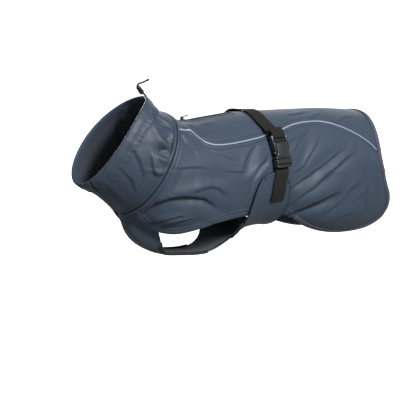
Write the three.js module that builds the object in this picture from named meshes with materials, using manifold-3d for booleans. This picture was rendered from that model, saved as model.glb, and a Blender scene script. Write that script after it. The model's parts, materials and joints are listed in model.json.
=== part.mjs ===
// Dog raincoat with a stand-up collar, in its worn shape, in millimetres.
// +X runs to the tail, -Y to the dog's left and +Z up.
import * as THREE from "three";
import ManifoldModule from "manifold-3d";

// Cloth, seams and hems
const WALL = 1.5; // coat cloth, shell and backing together
const LINING = 1.0;
const GAP = 0.3; // between pieces that lie on each other
const SEAM_GAP = 0.4;
const HEM_EXTRA = 1.0; // turned hem, added to the wall
const BINDING_DEPTH = 7.5;
const BINDING_WALL = 1.0;
const PIPING_WIDTH = 4;
const PIPING_HEIGHT = 1.5;
const CHANNEL_WIDTH = 25;
const CHANNEL_WALL = 1.2;
// Webbing and buckle
const FLAP_LEVEL = WALL + HEM_EXTRA + 0.9; // the flap's inner face over the form
const FLAP_TOP = FLAP_LEVEL + WALL + 2 * GAP;
const STRAP_WIDTH = 25;
const STRAP_WALL = 1.6;
const STRAP_X = 92;
const STRAP_LOW_X = 89;
const BUCKLE_X = 94;
const BUCKLE_V = 69; // the buckle's middle, in degrees round the form
const BUCKLE_OUT = 8; // its mid-plane over the form
const BUCKLE_WIDTH = 30.5;
const BUCKLE_THICK = 9;
// The bars the webbing is sewn round: place in the buckle's frame, and the end it comes from
const TOP_BAR = { y: -25, z: 0, size: 3.2, end: -1 };
const LOW_BAR = { y: 13, z: -2.5, size: 2.6, end: 1 };
// Lead opening at the withers
const SLIT_FROM = -62;
const SLIT_TO = 56;
const SLIT_V = 4;
const SLIT_HALF = 1.7;
const ZIP_TAPE_WIDTH = 22;
const SLIDER_X = -58;
const PIN = { x: -2.5, z: 4.5 };
const PULL_LENGTH = 11;
const PULL_REST = 24; // the pull's rest angle over the slider
// Drawcord at the nape
const CORD = 2.7;
const CORD_ROWS = [
  { x: -99.2, y: 0, z: 162.2 },
  { x: -103.2, y: 0, z: 164 },
  { x: -111.6, y: 0, z: 174.6 },
  { x: -109.8, y: 0, z: 177.2 },
  { x: -101, y: 0, z: 179.6 },
  { x: -92.5, y: 0, z: 182.8 },
];
// Where the wearer's back carries the coat: the inner face of the back panel on the spine
const CARRY_X = 60;

const FABRIC = { color: 0x4c5a6b, roughness: 0.55, metalness: 0.0 };
const COLLAR = { color: 0x424e5e, roughness: 0.55, metalness: 0.0 };
const CORD_BLACK = { color: 0x151617, roughness: 0.85, metalness: 0.0 };
const BLACK_LINING = { color: 0x17181b, roughness: 0.9, metalness: 0.0 };
const TRIM = { color: 0x3b3f4e, roughness: 0.75, metalness: 0.0 };
const REFLECTIVE = { color: 0x9dadbd, roughness: 0.4, metalness: 0.1 };
const WEBBING = { color: 0x2a2b28, roughness: 0.9, metalness: 0.0 };
const PLASTIC = { color: 0x2f322f, roughness: 0.35, metalness: 0.0 };
const METAL = { color: 0x2b2c2e, roughness: 0.4, metalness: 0.8 };

const rad = THREE.MathUtils.degToRad;
const clamp01 = (t) => Math.min(1, Math.max(0, t));
const smooth = (t) => clamp01(t) ** 2 * (3 - 2 * clamp01(t));

// The form the coat is cut to: ovals from the rump to the neck edge. Each lies in a plane
// through x, z tilted forward, with half heights above and below and a half width; full is
// the exponent of its lower half, 2 for an ellipse.
const SECTIONS = [
  { x: 372, z: 20, tilt: 0, up: 86, down: 96, half: 70, full: 2.7 },
  { x: 340, z: 24, tilt: 0, up: 91, down: 102, half: 75, full: 2.8 },
  { x: 300, z: 27, tilt: 0, up: 93, down: 108, half: 78, full: 2.8 },
  { x: 240, z: 31, tilt: 0, up: 93.5, down: 108, half: 78, full: 2.7 },
  { x: 180, z: 34, tilt: 0, up: 92, down: 98, half: 75, full: 2.4 },
  { x: 120, z: 36, tilt: 0, up: 91, down: 82, half: 73, full: 2.1 },
  { x: 60, z: 36, tilt: 0, up: 91, down: 82, half: 74, full: 2.1 },
  { x: 0, z: 34, tilt: 3, up: 89, down: 100, half: 76, full: 2.2 },
  { x: -50, z: 38, tilt: 13, up: 84, down: 98, half: 74, full: 2.2 },
  { x: -85, z: 53, tilt: 25, up: 79, down: 86, half: 69, full: 2.1 },
  { x: -107, z: 67, tilt: 31, up: 78, down: 78, half: 65, full: 2.0 },
  { x: -130, z: 86, tilt: 37, up: 70, down: 77, half: 58, full: 2.0 },
  { x: -158, z: 109, tilt: 41, up: 75, down: 83, half: 46, full: 2.0 },
];
const COLLAR_SEAM_X = -105;
const RIM_X = -156;

// How far the bib and the belly panel hang below that form, and the angle where that starts.
const SLING = [
  { x: 120, drop: 0, from: 135 },
  { x: 92, drop: 0, from: 135 },
  { x: 62, drop: 0, from: 135 },
  { x: 30, drop: 4, from: 135 },
  { x: 0, drop: 10, from: 135 },
  { x: -40, drop: 15, from: 145 },
  { x: -62, drop: 19, from: 152 },
  { x: -78, drop: 20, from: 155 },
  { x: -92, drop: 14, from: 157 },
  { x: -104, drop: 2, from: 160 },
];

// Seam and hem lines on the form, as x and degrees round it from the spine.
const PRINCESS_SEAM = [
  { x: -105, v: 44 },
  { x: -82, v: 36 },
  { x: -58, v: 40 },
  { x: -44, v: 47 },
  { x: -24, v: 51 },
  { x: 20, v: 52 },
  { x: 62, v: 51 },
  { x: 92, v: 47 },
  { x: 120, v: 43 },
  { x: 146, v: 38 },
  { x: 194, v: 35 },
  { x: 222, v: 39 },
  { x: 262, v: 51 },
  { x: 292, v: 63 },
  { x: 313, v: 76 },
];
const SIDE_HEM = [
  { x: -105, v: 162 },
  { x: -92, v: 158 },
  { x: -76, v: 155 },
  { x: -66, v: 148 },
  { x: -50, v: 135 },
  { x: -34, v: 127 },
  { x: -8, v: 121 },
  { x: 14, v: 121 },
  { x: 40, v: 127 },
  { x: 80, v: 137 },
  { x: 120, v: 140 },
  { x: 150, v: 144 },
  { x: 172, v: 150 },
  { x: 204, v: 156 },
  { x: 250, v: 159 },
  { x: 292, v: 156 },
  { x: 318, v: 148 },
  { x: 334, v: 136 },
];
const REAR_HEM = [
  { x: 313, v: 76 },
  { x: 318, v: 88 },
  { x: 328, v: 97 },
  { x: 338, v: 106 },
  { x: 341, v: 118 },
  { x: 334, v: 136 },
];
const TAIL_HEM = [
  { x: 313, v: 76 },
  { x: 315, v: 60 },
  { x: 320, v: 44 },
  { x: 328, v: 20 },
  { x: 330, v: 0 },
];
// Half of the bib and belly panel's outline, from the collar seam between the forelegs and
// round the flap to the rear edge under the belly.
const BELLY_EDGE = [
  { x: -104, v: 166 },
  { x: -92, v: 155 },
  { x: -78, v: 152 },
  { x: -66, v: 158 },
  { x: -52, v: 166 },
  { x: -34, v: 164 },
  { x: -10, v: 163 },
  { x: 12, v: 161 },
  { x: 28, v: 154 },
  { x: 38, v: 141 },
  { x: 39, v: 124 },
  { x: 41, v: 110 },
  { x: 47, v: 97 },
  { x: 60, v: 88 },
  { x: 84, v: 85.5 },
  { x: 104, v: 91 },
  { x: 114, v: 103 },
  { x: 117, v: 122 },
  { x: 118, v: 140 },
  { x: 117, v: 158 },
  { x: 116, v: 172 },
];
// Where the panel's columns cross its middle line: share of the outline, and the place there.
const BELLY_CENTRE = [
  { x: 0, centre: -104 },
  { x: 0.18, centre: -50 },
  { x: 0.34, centre: 6 },
  { x: 0.6, centre: 50 },
  { x: 0.76, centre: 92 },
  { x: 1, centre: 116 },
];

// Large folds, as lines on the form: height in millimetres, negative for a trough, and width.
const FOLDS = [
  { h: 5, w: 9, line: [[-154, 44], [-146, 53], [-136, 63], [-124, 72], [-112, 75]] },
  { h: -8, w: 13, line: [[-146, 44], [-134, 50], [-122, 56]] },
  { h: -4, w: 7, line: [[-128, 68], [-117, 58]] },
  { h: -5, w: 8, line: [[-124, 84], [-113, 76]] },
  { h: -4, w: 6, line: [[-113, 62], [-110, 74]] },
  { h: 3, w: 6, line: [[-122, 88], [-108, 84]] },
  { h: 3, w: 14, line: [[-116, 98], [-112, 102]] },
  {
    h: -3.5,
    w: 7,
    line: [[-98, 146], [-94, 128], [-82, 112], [-62, 102], [-44, 99], [-28, 104], [-6, 113]],
  },
  { h: 3, w: 9, line: [[-94, 120], [-78, 104], [-60, 95], [-42, 92], [-24, 96]] },
  { h: -3, w: 12, line: [[-60, 86], [-34, 84], [-8, 82]] },
  { h: 2.5, w: 6, line: [[-84, 140], [-62, 121]] },
  { h: -2, w: 5, line: [[-78, 146], [-60, 133], [-44, 120]] },
  { h: -3, w: 8, line: [[76, 73], [56, 82], [38, 92]] },
  { h: 2.5, w: 8, line: [[62, 70], [44, 78], [26, 86]] },
  { h: -2.5, w: 8, line: [[50, 62], [36, 74], [24, 84]] },
  { h: -4, w: 9, line: [[124, 101], [160, 90], [200, 77], [238, 66]] },
  { h: 3.5, w: 9, line: [[130, 106], [170, 96], [212, 82], [246, 72]] },
  { h: -4, w: 9, line: [[152, 103], [192, 90], [230, 78], [262, 69]] },
  { h: 3, w: 10, line: [[140, 118], [180, 105], [222, 94]] },
  { h: -3.5, w: 9, line: [[144, 128], [186, 114], [228, 100]] },
  { h: -3, w: 9, line: [[200, 126], [240, 109], [274, 95]] },
  { h: -2.5, w: 10, line: [[132, 84], [150, 68], [172, 54]] },
  { h: 2.5, w: 10, line: [[296, 84], [306, 94], [312, 108]] },
  { h: 2, w: 7, line: [[-82, 24], [-74, 32], [-68, 38]] },
  { h: -2, w: 7, line: [[-70, 26], [-58, 35], [-48, 42]] },
  { h: 13, w: 11, only: -1, line: [[-96, 166], [-84, 161], [-72, 157], [-60, 150]] },
];
const FAR_SHIFT = 7; // the right side's folds sit this much further back

function spline(rows, key, x) {
  const down = rows[0].x > rows[1].x ? -1 : 1;
  let i = 0;
  while (i < rows.length - 2 && (x - rows[i + 1].x) * down > 0) i++;
  const a = rows[Math.max(0, i - 1)];
  const b = rows[i];
  const c = rows[i + 1];
  const d = rows[Math.min(rows.length - 1, i + 2)];
  const h = c.x - b.x;
  const t = (x - b.x) / h;
  const m0 = a === b ? (c[key] - b[key]) / h : (c[key] - a[key]) / (c.x - a.x);
  const m1 = c === d ? (c[key] - b[key]) / h : (d[key] - b[key]) / (d.x - b.x);
  const t2 = t * t;
  const t3 = t2 * t;
  return (
    (2 * t3 - 3 * t2 + 1) * b[key] +
    (t3 - 2 * t2 + t) * h * m0 +
    (3 * t2 - 2 * t3) * c[key] +
    (t3 - t2) * h * m1
  );
}

// A point of the form, extra millimetres deeper below.
function formPoint(x, v, extra = 0) {
  let c = Math.cos(rad(v));
  let n = Math.sin(rad(v));
  let height = spline(SECTIONS, "up", x);
  if (c < 0) {
    const full = spline(SECTIONS, "full", x);
    n = Math.sign(n) * Math.abs(n) ** (2 / full);
    c = -(Math.abs(c) ** (2 / full));
    height = spline(SECTIONS, "down", x) + extra;
  }
  const tilt = rad(spline(SECTIONS, "tilt", x));
  return new THREE.Vector3(
    x + height * c * Math.sin(tilt),
    -spline(SECTIONS, "half", x) * n,
    spline(SECTIONS, "z", x) + height * c * Math.cos(tilt),
  );
}

function coatForm(x, v) {
  return formPoint(x, v);
}

function slingForm(x, v) {
  const drop = spline(SLING, "drop", Math.min(120, Math.max(-104, x)));
  const from = spline(SLING, "from", Math.min(120, Math.max(-104, x)));
  const under = 180 - Math.abs(((v + 540) % 360) - 180);
  return formPoint(x, v, Math.max(0, drop) * smooth((180 - under - from) / 18));
}

const MM_PER_DEGREE = 1.35;

function foldAt(x, v) {
  const left = v >= 0;
  const px = left ? x : x - FAR_SHIFT;
  const pv = Math.abs(v) * MM_PER_DEGREE;
  let total = 0;
  for (const { h, w, only, line } of FOLDS) {
    if (only && only > 0 !== left) continue;
    let best = Infinity;
    let taper = 1;
    for (let i = 0; i + 1 < line.length; i++) {
      const [ax, av] = line[i];
      const [bx, bv] = line[i + 1];
      const dx = bx - ax;
      const dv = (bv - av) * MM_PER_DEGREE;
      const t = clamp01(((px - ax) * dx + (pv - av * MM_PER_DEGREE) * dv) / (dx * dx + dv * dv));
      const d = Math.hypot(px - ax - t * dx, pv - av * MM_PER_DEGREE - t * dv);
      if (d < best) {
        best = d;
        taper = 0.45 + 0.55 * Math.sin((Math.PI * (i + t)) / (line.length - 1));
      }
    }
    if (best < 3 * w) total += h * taper * Math.exp(-((best / w) ** 2));
  }
  return total * (left ? 1 : 0.85);
}

// Fades the folds out where webbing, the zip or a seam holds the cloth flat.
function hold(x, v) {
  const strap = 1 - 0.9 * Math.exp(-(((x - STRAP_X) / 24) ** 2));
  const collarSeam = 1 - 0.85 * Math.exp(-(((x - COLLAR_SEAM_X) / 4) ** 2));
  const rim = 1 - 0.8 * Math.exp(-(((x - RIM_X) / 9) ** 2));
  const spine = 1 - 0.95 * Math.exp(-((v / 13) ** 2));
  return strap * collarSeam * rim * spine;
}

function surface(form, x, v, out, folded = 1) {
  const e = 0.5;
  const along = form(x + e, v).sub(form(x - e, v));
  const round = form(x, v + e).sub(form(x, v - e));
  const normal = along.cross(round).normalize();
  const centre = formPoint(x, 0).add(formPoint(x, 180)).multiplyScalar(0.5);
  const p = form(x, v);
  if (normal.dot(p.clone().sub(centre)) < 0) normal.negate();
  const shift = out + (folded > 0 ? folded * foldAt(x, v) * hold(x, v) : 0);
  return p.addScaledVector(normal, shift);
}

const onCoat = (x, v, out) => surface(coatForm, x, v, out);
const onSling = (x, v, out) => surface(slingForm, x, v, out, smooth((x - 16) / 16));

// A curve through table rows, evenly spaced along the cloth, as [x, v] for s from 0 to 1.
function trace(rows, side = 1) {
  const points = rows.map((r) => new THREE.Vector3(r.x, r.v * MM_PER_DEGREE, 0));
  const curve = new THREE.CatmullRomCurve3(points, false, "centripetal");
  curve.arcLengthDivisions = 400;
  return (s) => {
    const p = curve.getPointAt(clamp01(s));
    return [p.x, (side * p.y) / MM_PER_DEGREE];
  };
}

// The inside of four edge curves: top and bottom run front to rear, front and rear run down.
function patch(top, bottom, front, rear) {
  return (s, t) => {
    return [0, 1].map((k) => {
      const ruled = (1 - t) * top(s)[k] + t * bottom(s)[k] + (1 - s) * front(t)[k] + s * rear(t)[k];
      const upper = (1 - s) * top(0)[k] + s * top(1)[k];
      const lower = (1 - s) * bottom(0)[k] + s * bottom(1)[k];
      return ruled - (1 - t) * upper - t * lower;
    });
  };
}

function geometryOf(vertices, faces) {
  const geometry = new THREE.BufferGeometry();
  const numbers = vertices.flatMap((p) => p.toArray());
  geometry.setAttribute("position", new THREE.Float32BufferAttribute(numbers, 3));
  geometry.setIndex(faces.flat());
  let volume = 0;
  for (const [a, b, c] of faces) volume += vertices[a].dot(vertices[b].clone().cross(vertices[c]));
  if (volume < 0) geometry.setIndex(faces.flatMap(([a, b, c]) => [a, c, b]));
  geometry.computeVertexNormals();
  return geometry;
}

// A closed wall of cloth between two faces; ss and tt are the grid lines, point(s, t, face)
// gives a vertex for face 0 (inner) or 1 (outer), and open(i, j) leaves a cell out.
function clothWall(ss, tt, point, open = () => false) {
  const vertices = [];
  const index = new Map();
  const at = (i, j, face) => {
    const key = (i * 1000 + j) * 2 + face;
    if (!index.has(key)) {
      index.set(key, vertices.length);
      vertices.push(point(ss[i], tt[j], face, i, j));
    }
    return index.get(key);
  };
  const faces = [];
  const quad = (a, b, c, d) => faces.push([a, b, c], [a, c, d]);
  const n = ss.length - 1;
  const m = tt.length - 1;
  const cell = (i, j) => i >= 0 && i < n && j >= 0 && j < m && !open(i, j);
  for (let i = 0; i < n; i++) {
    for (let j = 0; j < m; j++) {
      if (!cell(i, j)) continue;
      quad(at(i, j, 1), at(i + 1, j, 1), at(i + 1, j + 1, 1), at(i, j + 1, 1));
      quad(at(i, j, 0), at(i, j + 1, 0), at(i + 1, j + 1, 0), at(i + 1, j, 0));
      if (!cell(i, j - 1)) quad(at(i, j, 0), at(i + 1, j, 0), at(i + 1, j, 1), at(i, j, 1));
      if (!cell(i, j + 1)) quad(at(i, j + 1, 1), at(i + 1, j + 1, 1), at(i + 1, j + 1, 0), at(i, j + 1, 0));
      if (!cell(i - 1, j)) quad(at(i, j, 1), at(i, j + 1, 1), at(i, j + 1, 0), at(i, j, 0));
      if (!cell(i + 1, j)) quad(at(i + 1, j, 0), at(i + 1, j + 1, 0), at(i + 1, j + 1, 1), at(i + 1, j, 1));
    }
  }
  return geometryOf(vertices, faces);
}

// A bar swept through sections, each the same loop of points; triangles close both ends.
function sweep(sections, cap) {
  const count = sections[0].length;
  const vertices = sections.flat();
  const faces = [];
  for (let i = 0; i + 1 < sections.length; i++) {
    for (let j = 0; j < count; j++) {
      const a = i * count + j;
      const b = i * count + ((j + 1) % count);
      faces.push([a, b, b + count], [a, b + count, a + count]);
    }
  }
  const last = (sections.length - 1) * count;
  for (const [a, b, c] of THREE.ShapeUtils.triangulateShape(cap, [])) {
    faces.push([a, c, b], [last + a, last + b, last + c]);
  }
  return geometryOf(vertices, faces);
}

function steps(count, from = 0, to = 1) {
  return Array.from({ length: count + 1 }, (_, i) => from + ((to - from) * i) / count);
}

function meshOf(name, geometry, finish) {
  const mesh = new THREE.Mesh(geometry, new THREE.MeshStandardMaterial(finish));
  mesh.name = name;
  return mesh;
}

// Unit steps across an edge into the cloth, as [x, v] per millimetre, one for each station.
function inward(stations, inside) {
  return stations.map(([x, v], i) => {
    const [x0, v0] = stations[Math.max(0, i - 1)];
    const [x1, v1] = stations[Math.min(stations.length - 1, i + 1)];
    const perX = coatForm(x + 0.5, v).distanceTo(coatForm(x - 0.5, v));
    const perV = coatForm(x, v + 0.5).distanceTo(coatForm(x, v - 0.5));
    const dx = (x1 - x0) * perX;
    const dv = (v1 - v0) * perV;
    const length = Math.hypot(dx, dv) * inside;
    return [-dv / length / perX, dx / length / perV];
  });
}

// A bar along stations of an edge, its section given as [distance into the cloth, height].
function trim(stations, inside, place, loop) {
  const across = inward(stations, inside);
  const sections = stations.map(([x, v], i) => {
    return loop.map(([d, h]) => place(x + d * across[i][0], v + d * across[i][1], h));
  });
  return sweep(sections, loop.map(([d, h]) => new THREE.Vector2(d, h)));
}

// The channel section of a folded binding, open towards the cloth between low and high.
function bindingLoop(low, high, depth, edge = -GAP) {
  const top = high + 2 * GAP;
  const bottom = low - 3 * GAP;
  const t = BINDING_WALL;
  return [
    [depth, top + t],
    [edge - t, top + t],
    [edge - t, bottom - t],
    [depth, bottom - t],
    [depth, bottom],
    [edge, bottom],
    [edge, top],
    [depth, top],
  ];
}

const coat = new THREE.Group();
const half = SEAM_GAP / 2 / MM_PER_DEGREE;

// Side panels: from the princess seam to the turned hem, from the collar seam to the rear.
const SIDE_COLUMNS = steps(36);
const SIDE_ROWS = steps(10);

function sideMap(side) {
  const top = trace(PRINCESS_SEAM, side);
  const bottom = trace(SIDE_HEM, side);
  const rear = trace(REAR_HEM, side);
  const front = (t) => [top(0)[0], top(0)[1] + (bottom(0)[1] - top(0)[1]) * t];
  return patch(top, bottom, front, rear);
}

function sidePanel(side) {
  const map = sideMap(side);
  return clothWall(SIDE_COLUMNS, SIDE_ROWS, (s, t, face) => {
    const [x, v] = map(s, t);
    const hem = s < 0.42 && t === 1 ? HEM_EXTRA : 0;
    return onCoat(x + (s === 0 ? half : 0), v + (t === 0 ? side * half : 0), face ? WALL + hem : 0);
  });
}

// Back panel between the princess seams, with the lead opening cut through it.
function tailHemX(v) {
  return spline(TAIL_HEM.map((r) => ({ x: -r.v, hem: r.x })), "hem", -Math.abs(v));
}

const BACK_ROWS = 6; // on each side of the opening

function backTurns(edge) {
  const slit = SLIT_HALF / 1.55;
  const left = steps(BACK_ROWS, SLIT_V + slit, edge);
  const right = steps(BACK_ROWS, -edge, SLIT_V - slit);
  return [...right, ...left];
}

function backPanel() {
  const seam = trace(PRINCESS_SEAM);
  const rows = backTurns(1).map((_, j) => j);
  const point = (s, j, face) => {
    const [x, v] = seam(s);
    const turn = backTurns(v - half)[j];
    const rear = (tailHemX(turn * (76 / v)) - 313) * smooth((s - 0.6) / 0.4);
    return onCoat(x + rear + (s === 0 ? half : 0), turn, face ? WALL : 0);
  };
  const open = (i, j) => {
    const x = seam(SIDE_COLUMNS[i])[0];
    const next = seam(SIDE_COLUMNS[i + 1])[0];
    return j === BACK_ROWS && x > SLIT_FROM && next < SLIT_TO;
  };
  return clothWall(SIDE_COLUMNS, rows, point, open);
}

function piping(side) {
  const seam = trace(PRINCESS_SEAM, side);
  const base = WALL + GAP + 0.2;
  const wide = PIPING_WIDTH / 2;
  const loop = [
    [-wide, base],
    [wide, base],
    [wide * 0.6, base + PIPING_HEIGHT],
    [-wide * 0.6, base + PIPING_HEIGHT],
  ];
  return trim(SIDE_COLUMNS.map((s) => seam(0.006 + 0.965 * s)), 1, onCoat, loop);
}

// Rear binding, from under one flank over the tail to the other.
function rearStations() {
  const map = sideMap(1);
  const low = SIDE_COLUMNS.filter((s) => map(s, 1)[0] > 146).map((s) => map(s, 1));
  const corner = SIDE_ROWS.slice(0, -1).reverse().map((t) => map(1, t));
  const over = backTurns(76 - half).slice(1, -1).reverse().map((v) => [tailHemX(v), v]);
  const far = [...low, ...corner].reverse().map(([x, v]) => [x, -v]);
  return [...low, ...corner, ...over, ...far];
}

// Collar: one wrap with its closing seam at the throat, a channel band and a lining.
const closing = (x) => 180 - 0.5 * Math.max(0, -106 - x);
const rimX = (v) => RIM_X + 6 * Math.max(0, Math.cos(rad(v))) ** 2 - 5 * Math.sin(rad(v)) ** 2;
const collarTurn = (u, x, gap) => closing(x) - 360 + gap + u * (360 - 2 * gap);

const COLLAR_COLUMNS = steps(44);
const COLLAR_ROWS = steps(8);
const CHANNEL_ROWS = COLLAR_ROWS.filter((t) => t > 1 - CHANNEL_WIDTH / 65);

function collarWall(columns, rows, low, high) {
  return clothWall(columns, rows, (u, t, face) => {
    const around = collarTurn(u, -130, 0.15);
    const x = COLLAR_SEAM_X - half + t * (rimX(around) - COLLAR_SEAM_X);
    return onCoat(x, collarTurn(u, x, 0.15), face ? high : low);
  });
}

function collarChannel() {
  const low = WALL + GAP;
  return collarWall(COLLAR_COLUMNS.slice(1, -1), CHANNEL_ROWS, low, low + CHANNEL_WALL);
}

// Bib and belly panel: one cloth from the throat between the forelegs to a flap on each side.
function bellyLevel(x) {
  const inside = -WALL - 2.2;
  return inside + (FLAP_LEVEL - inside) * smooth((x + 40) / 62);
}

const onBelly = (x, v, out) => onSling(x, v, bellyLevel(x) + out);

const bellyEdge = trace(BELLY_EDGE);

function bellyMap(s, t) {
  const [ex, ev] = bellyEdge(s);
  const cx = spline(BELLY_CENTRE, "centre", s);
  const v = 180 - (180 - ev) * Math.abs(t);
  return [cx + (ex - cx) * t ** 2, t < 0 ? -v : v];
}

const BIB_FIRST = 5; // the bound stretch of the outline, in columns
const BIB_LAST = 12;
const BELLY_COLUMNS = steps(38);
const BELLY_ROWS = [-1, -0.86, -0.72, -0.6, -0.5, -0.4, -0.22, 0, 0.22, 0.4, 0.5, 0.6, 0.72, 0.86, 1];

function bellyPanel() {
  return clothWall(BELLY_COLUMNS, BELLY_ROWS, (s, t, face) => onBelly(...bellyMap(s, t), face ? WALL : 0));
}

// Its black lining, where the panel hangs clear of the side panels.
function bellyLining() {
  const open = (i, j) => {
    const places = [[0, 0], [0, 1], [1, 0], [1, 1]];
    const corners = places.map(([a, b]) => bellyMap(BELLY_COLUMNS[i + a], BELLY_ROWS[j + b]));
    const bound = i < BIB_LAST + 2 && Math.max(-BELLY_ROWS[j], BELLY_ROWS[j + 1]) > 0.8;
    const clear = ([x, v]) => x > -74 && x < 66 && Math.abs(v) > 122 + 0.28 * Math.max(x, 40);
    return bound || !corners.every(clear);
  };
  const point = (s, t, face) => onBelly(...bellyMap(s, t), -2 * GAP - (face ? 0 : LINING));
  return clothWall(BELLY_COLUMNS, BELLY_ROWS, point, open);
}

function bibBinding(side) {
  const stations = BELLY_COLUMNS.slice(BIB_FIRST, BIB_LAST).map((s) => bellyMap(s, side));
  return trim(stations, side, onBelly, bindingLoop(-GAP, WALL + GAP, 3.2, -2 * GAP));
}

// Webbing along a path of frames, each with a middle point, a side and an outward direction.
function webbing(frames) {
  const sections = frames.map(({ p, side, up }) => {
    const a = p.clone().addScaledVector(side, -STRAP_WIDTH / 2);
    const b = p.clone().addScaledVector(side, STRAP_WIDTH / 2);
    return [a, b, b.clone().addScaledVector(up, STRAP_WALL), a.clone().addScaledVector(up, STRAP_WALL)];
  });
  const cap = [[0, 0], [1, 0], [1, 1], [0, 1]].map(([x, y]) => new THREE.Vector2(x, y));
  return sweep(sections, cap);
}

// The buckle's own frame: x across the webbing, y down it, z out from the coat.
function buckleFrame() {
  const e = 2;
  const down = onFlat(BUCKLE_X, BUCKLE_V + e, 0).sub(onFlat(BUCKLE_X, BUCKLE_V - e, 0)).normalize();
  const out = onFlat(BUCKLE_X, BUCKLE_V, 1).sub(onFlat(BUCKLE_X, BUCKLE_V, 0)).normalize();
  const across = down.clone().cross(out).normalize();
  const frame = new THREE.Matrix4().makeBasis(across, down, out);
  return frame.setPosition(onFlat(BUCKLE_X, BUCKLE_V, BUCKLE_OUT));
}

const onFlat = (x, v, out) => surface(coatForm, x, v, out, 0);

// Frames for webbing: laid ones lie on the form, atBar ones are given in the buckle's frame,
// where turn tips the webbing's outward side round the bar.
function laid(v, out, x, lean = 0) {
  const side = onFlat(x - 1, v, 0).sub(onFlat(x + 1, v, 0)).normalize();
  const up = onFlat(x, v, 1).sub(onFlat(x, v, 0)).normalize();
  const leant = side.clone().addScaledVector(up, Math.tan(rad(lean))).normalize();
  const down = up.clone().addScaledVector(side, -Math.tan(rad(lean))).normalize().negate();
  return { p: onFlat(x, v, out + STRAP_WALL), side: leant, up: down };
}

function atBar(y, z, turn) {
  const frame = buckleFrame();
  const side = new THREE.Vector3(1, 0, 0).transformDirection(frame);
  const up = new THREE.Vector3(0, -Math.sin(rad(turn)), Math.cos(rad(turn))).transformDirection(frame);
  return { p: new THREE.Vector3(0, y, z).applyMatrix4(frame), side, up };
}

// The upper webbing from the right flap over the back: angle, middle, height over the form and
// lean in degrees. It is slack beyond the crown, where its front edge lifts.
const STRAP_PATH = [
  { v: -117, x: 92, out: FLAP_TOP, lean: 0 },
  { v: -110, x: 92, out: FLAP_TOP, lean: 0 },
  { v: -103, x: 92, out: FLAP_TOP, lean: 0 },
  { v: -96, x: 92, out: FLAP_TOP, lean: 0 },
  { v: -88, x: 92, out: FLAP_TOP, lean: 0 },
  { v: -79, x: 92, out: 5, lean: 0 },
  { v: -68, x: 92, out: 4.8, lean: 0 },
  { v: -58, x: 92, out: 5, lean: 0 },
  { v: -47, x: 92, out: 6, lean: 2 },
  { v: -37, x: 92, out: 6.4, lean: 4 },
  { v: -29, x: 92, out: 7.2, lean: 7 },
  { v: -22, x: 92, out: 7.2, lean: 8 },
  { v: -15, x: 92, out: 6, lean: 7 },
  { v: -9, x: 92, out: 4.8, lean: 5 },
  { v: -3, x: 91.5, out: 3.8, lean: 3 },
  { v: 4, x: 91, out: 3, lean: 1 },
  { v: 13, x: 89, out: 2.7, lean: 0 },
  { v: 23, x: 87, out: 2.8, lean: 0 },
  { v: 32, x: 86, out: 3.6, lean: 0 },
  { v: 40, x: 88, out: 5, lean: 0 },
];

// From lying on the coat, round a bar and back over itself as a sewn tail.
function strapEnd({ y, z, size, end }, tail) {
  const radius = size / 2 + GAP;
  const loop = [0, 45, 90, 135, 180].map((a) => {
    const turn = 180 - end * a;
    return atBar(y - end * radius * Math.sin(rad(a)), z - radius * Math.cos(rad(a)), turn);
  });
  return [...loop, atBar(y + end * tail, z + radius, 0)];
}

function upperStrap() {
  const over = STRAP_PATH.map(({ v, x, out, lean }) => laid(v, out, x, lean));
  return webbing([...over, ...strapEnd(TOP_BAR, 14)]);
}

function manifoldOf(geometry) {
  const plain = geometry.index ? geometry.toNonIndexed() : geometry;
  const merged = new Map();
  const points = [];
  const corners = [];
  const position = plain.getAttribute("position");
  for (let i = 0; i < position.count; i++) {
    const p = [position.getX(i), position.getY(i), position.getZ(i)];
    const key = p.map((c) => Math.round(c * 1e4)).join();
    if (!merged.has(key)) {
      merged.set(key, points.length / 3);
      points.push(...p);
    }
    corners.push(merged.get(key));
  }
  const kept = [];
  for (let i = 0; i < corners.length; i += 3) {
    const [a, b, c] = corners.slice(i, i + 3);
    if (a !== b && b !== c && a !== c) kept.push(a, b, c);
  }
  const vertProperties = new Float32Array(points);
  return new wasm.Manifold(new wasm.Mesh({ numProp: 3, vertProperties, triVerts: new Uint32Array(kept) }));
}

function geometryFrom(solid, frame) {
  const mesh = solid.getMesh();
  const geometry = new THREE.BufferGeometry();
  const points = new Float32Array(mesh.numVert * 3);
  for (let i = 0; i < mesh.numVert; i++) {
    points.set(mesh.vertProperties.subarray(i * mesh.numProp, i * mesh.numProp + 3), i * 3);
  }
  geometry.setAttribute("position", new THREE.BufferAttribute(points, 3));
  geometry.setIndex(new THREE.BufferAttribute(mesh.triVerts, 1));
  return geometry.applyMatrix4(frame);
}

const wasm = await ManifoldModule();
wasm.setup();

function box(x0, x1, y0, y1, z0, z1) {
  return wasm.Manifold.cube([x1 - x0, y1 - y0, z1 - z0]).translate([x0, y0, z0]);
}

const block = (width, y0, y1, thick) => box(-width / 2, width / 2, y0, y1, -thick / 2, thick / 2);

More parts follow.
